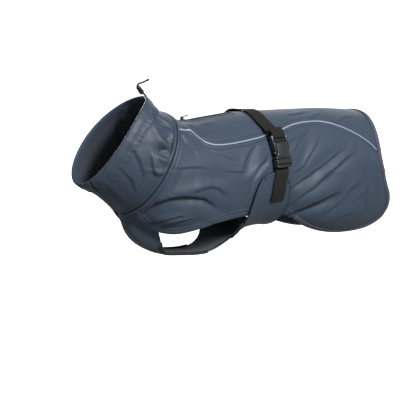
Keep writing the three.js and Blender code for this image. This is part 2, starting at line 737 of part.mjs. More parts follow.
// A plate with rounded corners and bevelled edges, width across and thick through.
function plate(width, y0, y1, thick, corner, bevel) {
  const shape = new THREE.Shape();
  const w = width / 2 - bevel;
  const [a, b] = [y0 + bevel, y1 - bevel];
  const r = corner - bevel;
  shape.moveTo(-w + r, a);
  shape.lineTo(w - r, a);
  shape.absarc(w - r, a + r, r, -Math.PI / 2, 0, false);
  shape.absarc(w - r, b - r, r, 0, Math.PI / 2, false);
  shape.absarc(-w + r, b - r, r, Math.PI / 2, Math.PI, false);
  shape.absarc(-w + r, a + r, r, Math.PI, Math.PI * 1.5, false);
  const depth = thick - 2 * bevel;
  const edges = { bevelThickness: bevel, bevelSize: bevel, bevelSegments: 1 };
  const geometry = new THREE.ExtrudeGeometry(shape, { depth, curveSegments: 3, ...edges });
  return manifoldOf(geometry.translate(0, 0, -depth / 2));
}

const bar = (width, y, z, size) => {
  const rod = wasm.Manifold.cylinder(width, size / 2, size / 2, 10, true);
  return rod.rotate([0, 90, 0]).translate([0, y, z]);
};

// Socket half: two bars above a hollow body with a notch on each side for the prongs.
function socket() {
  const body = plate(BUCKLE_WIDTH, -17, 9, BUCKLE_THICK, 3, 1.2);
  const loop = plate(BUCKLE_WIDTH, TOP_BAR.y - 2, -12, 6, 2.5, 0.8);
  const arms = loop.subtract(block(26, TOP_BAR.y - 3, -17, 8));
  const rod = bar(28, TOP_BAR.y, TOP_BAR.z, TOP_BAR.size);
  const bars = rod.add(plate(28, -21.3, -17.9, 4.4, 1.2, 0.6));
  const hollow = block(25.6, -12.5, 9.5, 5.4);
  const notch = box(11.6, 20, -5.4, 5.6, -6, 6).add(box(-20, -11.6, -5.4, 5.6, -6, 6));
  return body.add(arms).add(bars).subtract(hollow).subtract(notch);
}

// Plug half: a raised cross body over the bar its webbing is sewn round, an end bar, and two
// prongs with a tongue between them inside the socket.
function plug() {
  const thin = plate(BUCKLE_WIDTH - 0.5, 9.4, 16.6, 3.6, 1.7, 1.2).translate([0, 0, 2.9]);
  const last = plate(BUCKLE_WIDTH - 1, 18, 22, 3.2, 1.9, 0.9).translate([0, 0, 2.6]);
  const arm = box(13.4, 15, 9.6, 21, -4.2, 3.4);
  const prong = box(8.6, 11.4, -8, 9.5, -2.3, 2.3).add(box(11, 14.4, -4.8, 3.2, -2.3, 2.3));
  const tongue = box(-2.5, 2.5, -6, 9.6, -2.3, 2.3).add(box(-11.4, 11.4, 9.35, 9.65, -2.3, 3));
  const sides = arm.add(arm.mirror([1, 0, 0])).add(prong).add(prong.mirror([1, 0, 0]));
  return thin.add(last).add(sides).add(bar(28, LOW_BAR.y, LOW_BAR.z, LOW_BAR.size)).add(tongue);
}

function lowerStrap() {
  const lying = [115, 109, 103, 97].map((v) => laid(v, FLAP_TOP, STRAP_LOW_X));
  const rise = [laid(91, FLAP_TOP, STRAP_LOW_X + 2), laid(86.5, FLAP_TOP + 0.2, STRAP_LOW_X + 4)];
  return webbing([...lying, ...rise, ...strapEnd(LOW_BAR, 7)]);
}

// Zip of the lead opening: a tape under the slit with its closed teeth standing in it.
const ZIP_ROWS = [
  { d: -ZIP_TAPE_WIDTH / 2, up: 0 },
  { d: -1.3, up: 0 },
  { d: -0.9, up: 1.1 },
  { d: 0.9, up: 1.1 },
  { d: 1.3, up: 0 },
  { d: ZIP_TAPE_WIDTH / 2, up: 0 },
];

function zipTape() {
  const xs = [SLIT_FROM - 2, ...steps(8, SLIT_FROM + 12, SLIT_TO - 16), SLIT_TO + 2];
  const rows = ZIP_ROWS.map((_, j) => j);
  return clothWall(xs, rows, (x, j, face) => {
    const { d, up } = ZIP_ROWS[j];
    const teeth = x > SLIT_FROM && x < SLIT_TO ? up : 0;
    return onCoat(x, SLIT_V + d / 1.55, face ? teeth - 0.7 : -1.5);
  });
}

// The slider's frame: x towards the tail, y to the right side, z out from the back.
function sliderFrame() {
  const along = onFlat(SLIDER_X + 2, SLIT_V, 0).sub(onFlat(SLIDER_X - 2, SLIT_V, 0)).normalize();
  const out = onFlat(SLIDER_X, SLIT_V, 1).sub(onFlat(SLIDER_X, SLIT_V, 0)).normalize();
  const frame = new THREE.Matrix4().makeBasis(along, out.clone().cross(along), out);
  return frame.setPosition(onFlat(SLIDER_X, SLIT_V, WALL + GAP));
}

// Slider body with two ears and the pin that the pull hangs on.
function slider() {
  const body = plate(7, -4.5, 4.5, 2.4, 2, 0.5).rotate([0, 0, 90]).translate([0, 0, 1.3]);
  const ear = box(-4, -1, 1.6, 2.6, 2, 5.7);
  const pin = bar(4.4, 0, 0, 1.2).rotate([0, 0, 90]).translate([PIN.x, 0, PIN.z]);
  return body.add(ear).add(ear.mirror([0, 1, 0])).add(pin);
}

// Pull tab: an eye round the pin and a narrow bar that lifts from it.
function pull() {
  const eye = wasm.Manifold.cylinder(2.6, 1.6, 1.6, 14, true).rotate([90, 0, 0]);
  const hole = wasm.Manifold.cylinder(4, 0.95, 0.95, 14, true).rotate([90, 0, 0]);
  const tab = box(0, PULL_LENGTH - 2, -1.2, 1.2, -0.6, 0.6);
  const end = wasm.Manifold.cylinder(1.2, 2.1, 2.1, 14, true).translate([PULL_LENGTH - 2, 0, 0]);
  const whole = eye.add(tab).add(end).subtract(hole);
  return whole.rotate([0, -PULL_REST, 0]).translate([PIN.x, 0, PIN.z]);
}

// Drawcord: out of the channel at the nape, through its lock and back in a short free end.
function cordPath() {
  const start = onCoat(-143, 0, WALL + GAP + CHANNEL_WALL + GAP + CORD / 2 + 0.2);
  return [start, ...CORD_ROWS.map(({ x, y, z }) => new THREE.Vector3(x, y, z))];
}

function tube(points, radius, sides) {
  const curve = new THREE.CatmullRomCurve3(points, false, "centripetal");
  const count = 22;
  const frames = curve.computeFrenetFrames(count, false);
  const turns = steps(sides - 1, 0, 360 - 360 / sides);
  const sections = steps(count).map((s, i) => {
    const p = curve.getPointAt(s);
    return turns.map((a) => {
      const ring = frames.normals[i].clone().multiplyScalar(radius * Math.cos(rad(a)));
      return p.clone().add(ring.addScaledVector(frames.binormals[i], radius * Math.sin(rad(a))));
    });
  });
  return sweep(sections, turns.map((a) => new THREE.Vector2(Math.cos(rad(a)), Math.sin(rad(a)))));
}

function cordLock() {
  const [a, b] = cordPath().slice(2, 4);
  const out = b.clone().sub(a).normalize();
  const side = new THREE.Vector3(0, 1, 0);
  const frame = new THREE.Matrix4().makeBasis(side.clone().cross(out).normalize(), side, out);
  frame.setPosition(a.clone().lerp(b, 0.46));
  const length = 12.4;
  const body = wasm.Manifold.cylinder(length, 3.6, 3.2, 16, true);
  const hole = wasm.Manifold.cylinder(length + 2, CORD / 2 + 1, CORD / 2 + 1, 12, true);
  return geometryFrom(body.subtract(hole), frame);
}

coat.add(meshOf("back_panel", backPanel(), FABRIC));
coat.add(meshOf("side_panel_left", sidePanel(1), FABRIC));
coat.add(meshOf("side_panel_right", sidePanel(-1), FABRIC));
coat.add(meshOf("piping_left", piping(1), REFLECTIVE));
coat.add(meshOf("piping_right", piping(-1), REFLECTIVE));
const rearBinding = trim(rearStations(), -1, onCoat, bindingLoop(0, WALL, BINDING_DEPTH));
coat.add(meshOf("rear_binding", rearBinding, TRIM));
coat.add(meshOf("collar", collarWall(COLLAR_COLUMNS, COLLAR_ROWS, 0, WALL), COLLAR));
coat.add(meshOf("collar_channel", collarChannel(), COLLAR));
const neckLining = collarWall(COLLAR_COLUMNS, COLLAR_ROWS, -GAP - LINING, -GAP);
coat.add(meshOf("collar_lining", neckLining, BLACK_LINING));
coat.add(meshOf("strap_upper", upperStrap(), WEBBING));
coat.add(meshOf("strap_lower", lowerStrap(), WEBBING));
coat.add(meshOf("buckle_socket", geometryFrom(socket(), buckleFrame()), PLASTIC));
coat.add(meshOf("buckle_plug", geometryFrom(plug(), buckleFrame()), PLASTIC));
coat.add(meshOf("belly_panel", bellyPanel(), FABRIC));
coat.add(meshOf("belly_lining", bellyLining(), BLACK_LINING));
coat.add(meshOf("bib_binding_left", bibBinding(1), TRIM));
coat.add(meshOf("bib_binding_right", bibBinding(-1), TRIM));
coat.add(meshOf("zip_tape", zipTape(), TRIM));
coat.add(meshOf("zip_slider", geometryFrom(slider(), sliderFrame()), METAL));
coat.add(meshOf("zip_pull", geometryFrom(pull(), sliderFrame()), METAL));
coat.add(meshOf("drawcord", tube(cordPath(), CORD / 2, 8), CORD_BLACK));
coat.add(meshOf("cord_lock", cordLock(), CORD_BLACK));
coat.position.copy(onFlat(CARRY_X, 0, 0)).negate();

const root = new THREE.Group();
root.add(coat);
export default root;
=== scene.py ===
import json
import logging
import math
from dataclasses import dataclass
from enum import Enum
from typing import Callable, Iterable, Sequence

import bmesh
import bpy
import numpy as np
from mathutils import Matrix, Vector

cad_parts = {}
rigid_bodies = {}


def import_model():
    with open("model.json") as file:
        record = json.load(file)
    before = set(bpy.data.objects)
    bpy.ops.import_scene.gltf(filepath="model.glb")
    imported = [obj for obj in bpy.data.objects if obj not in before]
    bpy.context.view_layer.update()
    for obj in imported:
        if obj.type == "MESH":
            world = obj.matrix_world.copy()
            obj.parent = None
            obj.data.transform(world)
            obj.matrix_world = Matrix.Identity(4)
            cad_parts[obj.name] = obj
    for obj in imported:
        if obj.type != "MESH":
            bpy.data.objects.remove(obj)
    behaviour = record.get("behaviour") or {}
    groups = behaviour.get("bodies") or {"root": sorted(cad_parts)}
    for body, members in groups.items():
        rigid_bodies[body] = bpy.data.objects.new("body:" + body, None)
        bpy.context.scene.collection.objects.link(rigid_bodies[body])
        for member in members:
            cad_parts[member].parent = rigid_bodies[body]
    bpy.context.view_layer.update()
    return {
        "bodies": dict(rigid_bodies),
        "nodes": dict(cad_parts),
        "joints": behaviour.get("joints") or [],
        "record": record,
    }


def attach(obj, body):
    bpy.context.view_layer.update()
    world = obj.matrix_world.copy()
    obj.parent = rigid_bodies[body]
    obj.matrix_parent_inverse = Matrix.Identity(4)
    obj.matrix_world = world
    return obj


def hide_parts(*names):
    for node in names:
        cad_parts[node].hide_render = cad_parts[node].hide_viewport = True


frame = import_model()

LOG = logging.getLogger("dog_raincoat")

# Sizes in millimetres, the same as in the solid model. The form's own frame is shifted so that
# the mount under the back lies at the origin.
MM = 0.001
SHIFT = np.array([60.0, 0.0, 127.0])
WALL = 1.5
HEM_EXTRA = 1.0
GAP = 0.3
BINDING_DEPTH = 7.5
CHANNEL_WIDTH = 25.0
CHANNEL_TOP = 3.0
FLAP_LEVEL = WALL + HEM_EXTRA + 0.9
FLAP_TOP = FLAP_LEVEL + WALL + 2 * GAP
STRAP_WIDTH = 25.0
STRAP_WALL = 1.6
STRAP_X = 92.0
STRAP_LOW_X = 89.0
BUCKLE_X = 94.0
BUCKLE_V = 69.0
BUCKLE_OUT = 8.0
BUCKLE_WIDTH = 30.5
SLIT_FROM = -62.0
SLIT_TO = 56.0
SLIT_V = 4.0
SLIT_HALF = 1.7
ZIP_TAPE_WIDTH = 22.0
SLIDER_X = -58.0
PIN_X = -2.5
PIN_Z = 4.5
PULL_LENGTH = 11.0
PULL_REST = 24.0
CORD = 2.7
COLLAR_SEAM_X = -105.0
RIM_X = -156.0
MM_PER_DEGREE = 1.35
FAR_SHIFT = 7.0

# The form's ovals: x, z, tilt, height up, height down, half width, fullness of the lower half.
SECTIONS = (
    (372, 20, 0, 86, 96, 70, 2.7),
    (340, 24, 0, 91, 102, 75, 2.8),
    (300, 27, 0, 93, 108, 78, 2.8),
    (240, 31, 0, 93.5, 108, 78, 2.7),
    (180, 34, 0, 92, 98, 75, 2.4),
    (120, 36, 0, 91, 82, 73, 2.1),
    (60, 36, 0, 91, 82, 74, 2.1),
    (0, 34, 3, 89, 100, 76, 2.2),
    (-50, 38, 13, 84, 98, 74, 2.2),
    (-85, 53, 25, 79, 86, 69, 2.1),
    (-107, 67, 31, 78, 78, 65, 2.0),
    (-130, 86, 37, 70, 77, 58, 2.0),
    (-158, 109, 41, 75, 83, 46, 2.0),
)
# How far the bib and the belly panel hang below that form, and the angle where that starts.
SLING = (
    (120, 0, 135),
    (92, 0, 135),
    (62, 0, 135),
    (30, 4, 135),
    (0, 10, 135),
    (-40, 15, 145),
    (-62, 19, 152),
    (-78, 20, 155),
    (-92, 14, 157),
    (-104, 2, 160),
)
# Seam and hem lines on the form, as x and degrees round it from the spine.
PRINCESS_SEAM = (
    (-105, 44), (-82, 36), (-58, 40), (-44, 47), (-24, 51), (20, 52), (62, 51), (92, 47),
    (120, 43), (146, 38), (194, 35), (222, 39), (262, 51), (292, 63), (313, 76),
)
SIDE_HEM = (
    (-105, 162), (-92, 158), (-76, 155), (-66, 148), (-50, 135), (-34, 127), (-8, 121),
    (14, 121), (40, 127), (80, 137), (120, 140), (150, 144), (172, 150), (204, 156),
    (250, 159), (292, 156), (318, 148), (334, 136),
)
REAR_HEM = ((313, 76), (318, 88), (328, 97), (338, 106), (341, 118), (334, 136))
TAIL_HEM = ((313, 76), (315, 60), (320, 44), (328, 20), (330, 0))
BELLY_EDGE = (
    (-104, 166), (-92, 155), (-78, 152), (-66, 158), (-52, 166), (-34, 164), (-10, 163),
    (12, 161), (28, 154), (38, 141), (39, 124), (41, 110), (47, 97), (60, 88), (84, 85.5),
    (104, 91), (114, 103), (117, 122), (118, 140), (117, 158), (116, 172),
)
BELLY_CENTRE = ((0, -104), (0.18, -50), (0.34, 6), (0.6, 50), (0.76, 92), (1, 116))
# The upper webbing from the right flap over the back: angle, middle, height over the form, lean.
STRAP_PATH = (
    (-117, 92, FLAP_TOP, 0), (-110, 92, FLAP_TOP, 0), (-103, 92, FLAP_TOP, 0),
    (-96, 92, FLAP_TOP, 0), (-88, 92, FLAP_TOP, 0), (-79, 92, 5, 0), (-68, 92, 4.8, 0),
    (-58, 92, 5, 0), (-47, 92, 6, 2), (-37, 92, 6.4, 4), (-29, 92, 7.2, 7), (-22, 92, 7, 8),
    (-15, 92, 5.2, 6), (-9, 92, 3.6, 3), (-3, 91.5, 2.8, 1), (4, 91, 2.7, 0), (13, 89, 2.7, 0),
    (23, 87, 2.8, 0), (32, 86, 3.6, 0), (40, 88, 5, 0),
)
# The drawcord's route in the form's frame, after it leaves the channel at the nape.
CORD_ROWS = (
    (-99.2, 0, 162.2), (-103.2, 0, 164), (-111.6, 0, 174.6), (-109.8, 0, 177.2),
    (-101, 0, 179.6), (-92.5, 0, 182.8),
)


@dataclass(frozen=True)
class Fold:
    """A soft ridge, or a trough where the height is negative, along a line on the form."""

    height: float
    width: float
    line: tuple[tuple[float, float], ...]
    only: int = 0
    crest: float = 2.0  # how round its top is: 2 for a soft bell, near 1 for a sharp crease
    step: bool = False  # whether the cloth doubles over there: a ridge that drops into a trough on its right


FOLDS = (
    Fold(5, 9, ((-154, 44), (-146, 53), (-136, 63), (-124, 72), (-112, 75))),
    Fold(-8, 13, ((-146, 44), (-134, 50), (-122, 56))),
    Fold(-4, 7, ((-128, 68), (-117, 58))),
    Fold(-5, 8, ((-124, 84), (-113, 76))),
    Fold(-4, 6, ((-113, 62), (-110, 74))),
    Fold(3, 6, ((-122, 88), (-108, 84))),
    Fold(3, 14, ((-116, 98), (-112, 102))),
    Fold(-3.5, 7, ((-98, 146), (-94, 128), (-82, 112), (-62, 102), (-44, 99), (-28, 104), (-6, 113))),
    Fold(3, 9, ((-94, 120), (-78, 104), (-60, 95), (-42, 92), (-24, 96))),
    Fold(-3, 12, ((-60, 86), (-34, 84), (-8, 82))),
    Fold(2.5, 6, ((-84, 140), (-62, 121))),
    Fold(-2, 5, ((-78, 146), (-60, 133), (-44, 120))),
    Fold(-3, 8, ((76, 73), (56, 82), (38, 92))),
    Fold(2.5, 8, ((62, 70), (44, 78), (26, 86))),
    Fold(-2.5, 8, ((50, 62), (36, 74), (24, 84))),
    Fold(-4, 9, ((124, 101), (160, 90), (200, 77), (238, 66))),
    Fold(3.5, 9, ((130, 106), (170, 96), (212, 82), (246, 72))),
    Fold(-4, 9, ((152, 103), (192, 90), (230, 78), (262, 69))),
    Fold(3, 10, ((140, 118), (180, 105), (222, 94))),
    Fold(-3.5, 9, ((144, 128), (186, 114), (228, 100))),
    Fold(-3, 9, ((200, 126), (240, 109), (274, 95))),
    Fold(-2.5, 10, ((132, 84), (150, 68), (172, 54))),
    Fold(2.5, 10, ((296, 84), (306, 94), (312, 108))),
    Fold(2, 7, ((-82, 24), (-74, 32), (-68, 38))),
    Fold(-2, 7, ((-70, 26), (-58, 35), (-48, 42))),
    Fold(13, 11, ((-96, 166), (-84, 161), (-72, 157), (-60, 150)), -1),
)
# Smaller creases that the solid model leaves out.
CREASES = (
    Fold(1.3, 6, ((128, 67), (142, 58), (163, 49), (182, 42)), step=True),
    Fold(1.5, 4.5, ((122, 88), (133, 86), (144, 82), (154, 75),
         (172, 64), (186, 55), (198, 47)), step=True),
    Fold(2.7, 5, ((118, 104), (127, 100), (141, 95), (160, 90),
         (181, 84), (202, 77), (224, 70), (244, 64)), step=True),
    Fold(3.6, 7, ((124, 124), (140, 111), (158, 103), (180, 94),
         (202, 89), (228, 79), (247, 73), (265, 68)), step=True),
    Fold(4.2, 8, ((134, 136), (145, 130), (156, 124), (169, 118),
         (185, 113), (202, 107), (217, 103), (232, 100)), step=True),
    Fold(2.5, 5, ((200, 129), (209, 121), (221, 114), (233, 106),
         (241, 100), (259, 96), (277, 94)), step=True),
    Fold(1.1, 5, ((283, 97), (281, 108), (281, 120)), step=True),
    Fold(2.2, 3.5, ((292, 72), (299, 85), (305, 94)), crest=1.3),
    Fold(-3.1, 6, ((148, 134), (169, 126), (190, 118), (211, 110)), crest=1.6),
    Fold(3.4, 6, ((-98, 149), (-98, 137), (-96, 125), (-88, 114), (-74, 105),
         (-59, 101), (-45, 100), (-33, 103), (-21, 107), (-12, 111)), step=True),
    Fold(2.1, 6, ((-63, 97), (-54, 93), (-40, 91), (-26, 92), (-12, 96), (-2, 102)), step=True),
    Fold(1.8, 3, ((-86, 149), (-81, 138), (-75, 129), (-68, 122), (-57, 117)), step=True),
    Fold(1.8, 3, ((-77, 146), (-72, 134), (-65, 126), (-56, 120), (-47, 118)), step=True),
    Fold(1.7, 5, ((20, 78), (28, 70), (40, 63), (52, 58), (68, 52)), step=True),
    Fold(3.1, 5, ((34, 94), (37, 88), (47, 81), (64, 75), (77, 66)), step=True),
    Fold(2.2, 4, ((46, 91), (58, 84), (73, 78)), crest=1.4),
    Fold(1.3, 5, ((-99, 47), (-88, 55), (-74, 59), (-62, 64)), step=True),
    Fold(0.8, 5, ((-32, 58), (-6, 65), (12, 71)), step=True),
    Fold(1, 4, ((-95, 86), (-78, 79), (-62, 75), (-41, 75)), step=True),
    Fold(0.7, 4, ((-10, 78), (13, 80), (34, 81)), step=True),
    Fold(-1.3, 5, ((-88, 87), (-88, 98), (-88, 107)), crest=1.4),
    Fold(1.3, 2.2, ((-129, 68), (-120, 57), (-113, 53)), crest=1.3),
    Fold(2.0, 3.5, ((-111, 75), (-119, 78), (-126, 84)), step=True),
    Fold(1.8, 2.4, ((-128, 70), (-120, 73), (-113, 75)), crest=1.3),
    Fold(-2.6, 3.2, ((-113, 64), (-110, 76)), crest=1.6),
    Fold(1.8, 5, ((-128, 93), (-120, 102), (-114, 105), (-108, 100), (-105, 90)), step=True),
    Fold(1.2, 2.2, ((-123, 88), (-116, 88), (-107, 84)), crest=1.3),
    Fold(-3.0, 4, ((-138, 40), (-126, 42), (-116, 46)), crest=1.5),
    Fold(1.2, 4.4, ((-150, 96), (-134, 104), (-118, 118)), step=True),
    Fold(1.0, 4.4, ((-146, 120), (-130, 124), (-114, 136)), step=True),
    Fold(0.9, 4.4, ((-138, 148), (-124, 150), (-112, 156)), step=True),
    Fold(1.7, 3.5, ((-74, 20), (-38, 21), (0, 19)), crest=1.3),
    Fold(1.8, 3, ((-66, 27), (-52, 24), (-36, 26)), crest=1.3),
    Fold(1.3, 4, ((152, 22), (180, 19), (206, 15)), step=True),
    Fold(1.3, 4, ((186, 31), (204, 25), (220, 21)), step=True),
    Fold(1, 4, ((228, 40), (262, 30), (300, 26)), step=True),
    Fold(1.3, 3.3, ((-86, 30), (-74, 39)), crest=1.3),
    Fold(1, 4, ((112, 60), (140, 54), (170, 48)), step=True),
    Fold(1.1, 6, ((250, 112), (268, 104), (284, 100)), step=True),
    Fold(1, 5, ((226, 132), (244, 124), (262, 120)), step=True),
    Fold(-1.1, 5, ((-40, 120), (-24, 122), (-6, 126)), crest=1.4),
)


def smooth(t: np.ndarray | float) -> np.ndarray:
    """A soft step from 0 to 1.

    Args:
        t: Where to take it; below 0 it gives 0 and above 1 it gives 1.

    Returns:
        The eased values.
    """
    t = np.clip(t, 0.0, 1.0)
    return t * t * (3 - 2 * t)


def bump(d: np.ndarray, width: float) -> np.ndarray:
    """A bell of height 1.

    Args:
        d: Distance from its middle.
        width: Distance at which it has fallen to 1/e.

    Returns:
        Its height at each distance.
    """
    return np.exp(-((np.asarray(d) / width) ** 2))


def spline(rows: Sequence[Sequence[float]], column: int, x: np.ndarray) -> np.ndarray:
    """A smooth curve through table rows.

    Args:
        rows: The table, in rising or falling order of its first column.
        column: Which column to read.
        x: Places along the first column.

    Returns:
        The value at each place.
    """
    table = np.array(sorted(tuple(map(float, r)) for r in rows))
    knots = table[:, 0]
    y = table[:, column]
    x = np.asarray(x, float)
    slope = np.empty(len(y))
    slope[1:-1] = (y[2:] - y[:-2]) / (knots[2:] - knots[:-2])
    slope[0] = (y[1] - y[0]) / (knots[1] - knots[0])
    slope[-1] = (y[-1] - y[-2]) / (knots[-1] - knots[-2])
    i = np.clip(np.searchsorted(knots, x, side="right") - 1, 0, len(y) - 2)
    h = knots[i + 1] - knots[i]
    t = (x - knots[i]) / h
    t2 = t * t
    t3 = t2 * t
    start = (2 * t3 - 3 * t2 + 1) * y[i] + (t3 - 2 * t2 + t) * h * slope[i]
    return start + (3 * t2 - 2 * t3) * y[i + 1] + (t3 - t2) * h * slope[i + 1]


def form_point(x: np.ndarray, v: np.ndarray, extra: np.ndarray | float = 0.0) -> np.ndarray:
    """A point of the form that the coat is cut to.

    Args:
        x: Place along it.
        v: Degrees round it from the spine, towards the dog's left.
        extra: Millimetres deeper below.

    Returns:
        Points in the form's frame, the last axis being x, y, z.
    """
    x, v, extra = np.broadcast_arrays(np.asarray(x, float), np.asarray(v, float), extra)
    c = np.cos(np.radians(v))
    n = np.sin(np.radians(v))
    low = c < 0
    full = spline(SECTIONS, 6, x)
    height = np.where(low, spline(SECTIONS, 4, x) + extra, spline(SECTIONS, 3, x))
    n = np.where(low, np.sign(n) * np.abs(n) ** (2 / full), n)
    c = np.where(low, -(np.abs(c) ** (2 / full)), c)
    tilt = np.radians(spline(SECTIONS, 2, x))
    along = x + height * c * np.sin(tilt)
    up = spline(SECTIONS, 1, x) + height * c * np.cos(tilt)
    return np.stack([along, -spline(SECTIONS, 5, x) * n, up], -1)


def sling_point(x: np.ndarray, v: np.ndarray) -> np.ndarray:
    """A point of the form with the bib and belly hanging below it, as form_point."""
    at = np.clip(x, -104, 120)
    drop = np.maximum(0, spline(SLING, 1, at))
    under = 180 - np.abs(((np.asarray(v, float) + 540) % 360) - 180)
    return form_point(x, v, drop * smooth((180 - under - spline(SLING, 2, at)) / 18))


def fold_height(folds: Iterable[Fold], x: np.ndarray, v: np.ndarray) -> np.ndarray:
    """How far the folds lift the cloth.

    Args:
        folds: The folds of the left side; the right side has them a little further back.
        x: Place along the form.
        v: Degrees round it.

    Returns:
        Millimetres outward.
    """
    left = v >= 0
    px = np.where(left, x, x - FAR_SHIFT)
    pv = np.abs(v) * MM_PER_DEGREE
    total = np.zeros(np.shape(px))
    for fold in folds:
        best = np.full(np.shape(px), np.inf)
        taper = np.ones(np.shape(px))
        beside = np.zeros(np.shape(px))
        for i, ((ax, av), (bx, bv)) in enumerate(zip(fold.line, fold.line[1:])):
            dx = bx - ax
            dv = (bv - av) * MM_PER_DEGREE
            av *= MM_PER_DEGREE
            t = np.clip(((px - ax) * dx + (pv - av) * dv) / (dx * dx + dv * dv), 0, 1)
            d = np.hypot(px - ax - t * dx, pv - av - t * dv)
            near = d < best
            best = np.where(near, d, best)
            share = (i + t) / (len(fold.line) - 1)
            if fold.step:
                swell = np.clip(0.5 + 3 * share, 0, 1) * smooth(2.5 * (1 - share))
                off = ((pv - av) * dx - (px - ax) * dv) / math.hypot(dx, dv)
                beside = np.where(near, off, beside)
            else:
                swell = 0.45 + 0.55 * np.sin(np.pi * share)
            taper = np.where(near, swell, taper)
        if fold.step:
            bell = -1.25 * np.tanh(beside / (0.32 * fold.width)) * np.exp(-best / fold.width)
        else:
            bell = np.exp(-((best / fold.width) ** fold.crest))
        part = np.where(best < 5 * fold.width, fold.height * taper * bell, 0)
        if fold.only:
            part = np.where(left == (fold.only > 0), part, 0)
        total = total + part
    return total * np.where(left, 1, 0.85)


def held_flat(x: np.ndarray, v: np.ndarray, width: float = 24.0) -> np.ndarray:
    """The share of the folds left where webbing, the zip or a seam holds the cloth flat."""
    strap = 1 - 0.9 * bump(x - STRAP_X, width)
    seam = 1 - 0.85 * bump(x - COLLAR_SEAM_X, 4)
    rim = 1 - 0.8 * bump(x - RIM_X, 9)
    spine = 1 - 0.95 * bump(v, 13)
    return strap * seam * rim * spine


Form = Callable[[np.ndarray, np.ndarray], np.ndarray]


def surface(form: Form, x, v, out, folded: np.ndarray | float = 1.0, fine: float = 1.0) -> np.ndarray:
    """Points over the form, with the cloth's folds in them.

    Args:
        form: form_point or sling_point.
        x: Place along the form.
        v: Degrees round it.
        out: Millimetres outward.
        folded: Share of the folds.
        fine: Share of the smaller creases, which the solid model leaves out.

    Returns:
        Points in the form's frame.
    """
    x, v, out = np.broadcast_arrays(np.asarray(x, float), np.asarray(v, float), out)
    e = 0.5
    along = form(x + e, v) - form(x - e, v)
    turn = form(x, v + e) - form(x, v - e)
    normal = np.cross(along, turn)
    normal /= np.linalg.norm(normal, axis=-1, keepdims=True)
    zero = np.zeros(np.shape(x))
    centre = (form_point(x, zero) + form_point(x, zero + 180)) / 2
    p = form(x, v)
    inward = np.sum(normal * (p - centre), -1, keepdims=True) < 0
    normal = np.where(inward, -normal, normal)
    lift = fold_height(FOLDS, x, v) * held_flat(x, v)
    if fine:
        lift = lift + 1.2 * fine * fold_height(CREASES, x, v) * held_flat(x, v, 15.0)
    shift = out + folded * lift
    return p + normal * np.asarray(shift)[..., None]


def on_coat(x, v, out) -> np.ndarray:
    """Points over the body and the collar, with folds."""
    return surface(form_point, x, v, out)


def on_flat(x, v, out) -> np.ndarray:
    """Points over the form without folds."""
    return surface(form_point, x, v, out, 0.0, 0.0)


def belly_level(x) -> np.ndarray:
    """The inner face of the belly panel over the form: inside the coat at the bib, outside aft."""
    inside = -WALL - 2.2
    return inside + (FLAP_LEVEL - inside) * smooth((np.asarray(x, float) + 40) / 62)


def on_belly(x, v, out) -> np.ndarray:
    """Points over the inner face of the bib and belly panel."""
    share = smooth((np.asarray(x, float) - 16) / 16)
    return surface(sling_point, x, v, belly_level(x) + out, share)


@dataclass(frozen=True)
class Trace:
    """A smooth line through places on the form, evenly spaced along the cloth."""

    rows: tuple[tuple[float, float], ...]
    side: int = 1

    def _curve(self, t: np.ndarray) -> np.ndarray:
        points = np.array([(x, v * MM_PER_DEGREE) for x, v in self.rows], float)
        ends = [2 * points[0] - points[1], 2 * points[-1] - points[-2]]
        points = np.vstack([ends[0], points, ends[1]])
        count = len(points) - 3
        i = np.clip(np.floor(t * count).astype(int), 0, count - 1)
        w = (t * count - i)[:, None]
        p0, p1, p2, p3 = (points[i + k] for k in range(4))
        dt0, dt1, dt2 = (np.sqrt(np.linalg.norm(b - a, axis=1))[:, None] for a, b in ((p0, p1), (p1, p2), (p2, p3)))
        t1 = ((p1 - p0) / dt0 - (p2 - p0) / (dt0 + dt1) + (p2 - p1) / dt1) * dt1
        t2 = ((p2 - p1) / dt1 - (p3 - p1) / (dt1 + dt2) + (p3 - p2) / dt2) * dt1
        c2 = -3 * p1 + 3 * p2 - 2 * t1 - t2
        c3 = 2 * p1 - 2 * p2 + t1 + t2
        return p1 + t1 * w + c2 * w**2 + c3 * w**3

    def at(self, s) -> tuple[np.ndarray, np.ndarray]:
        """Places along the line.

        Args:
            s: Shares of its length.

        Returns:
            x and degrees round the form.
        """
        s = np.clip(np.asarray(s, float), 0, 1)
        t = np.linspace(0, 1, 401)
        fine = self._curve(t)
        length = np.concatenate([[0], np.cumsum(np.linalg.norm(np.diff(fine, axis=0), axis=1))])
        found = self._curve(np.interp(s.ravel() * length[-1], length, t))
        return found[:, 0].reshape(s.shape), (self.side * found[:, 1] / MM_PER_DEGREE).reshape(s.shape)


def patch(top, bottom, front, rear, s, t) -> tuple[np.ndarray, np.ndarray]:
    """The inside of four edge lines.

    Args:
        top: Upper line from front to rear, as a function of its share.
        bottom: Lower line from front to rear.
        front: Front line downward.
        rear: Rear line downward.
        s: Shares front to rear.
        t: Shares downward.

    Returns:
        x and degrees round the form.
    """
    zero = np.zeros(1)
    found = []
    for k in (0, 1):
        ruled = (1 - t) * top(s)[k] + t * bottom(s)[k] + (1 - s) * front(t)[k] + s * rear(t)[k]
        upper = (1 - s) * top(zero)[k] + s * top(zero + 1)[k]
        lower = (1 - s) * bottom(zero)[k] + s * bottom(zero + 1)[k]
        found.append(ruled - (1 - t) * upper - t * lower)
    return found[0], found[1]


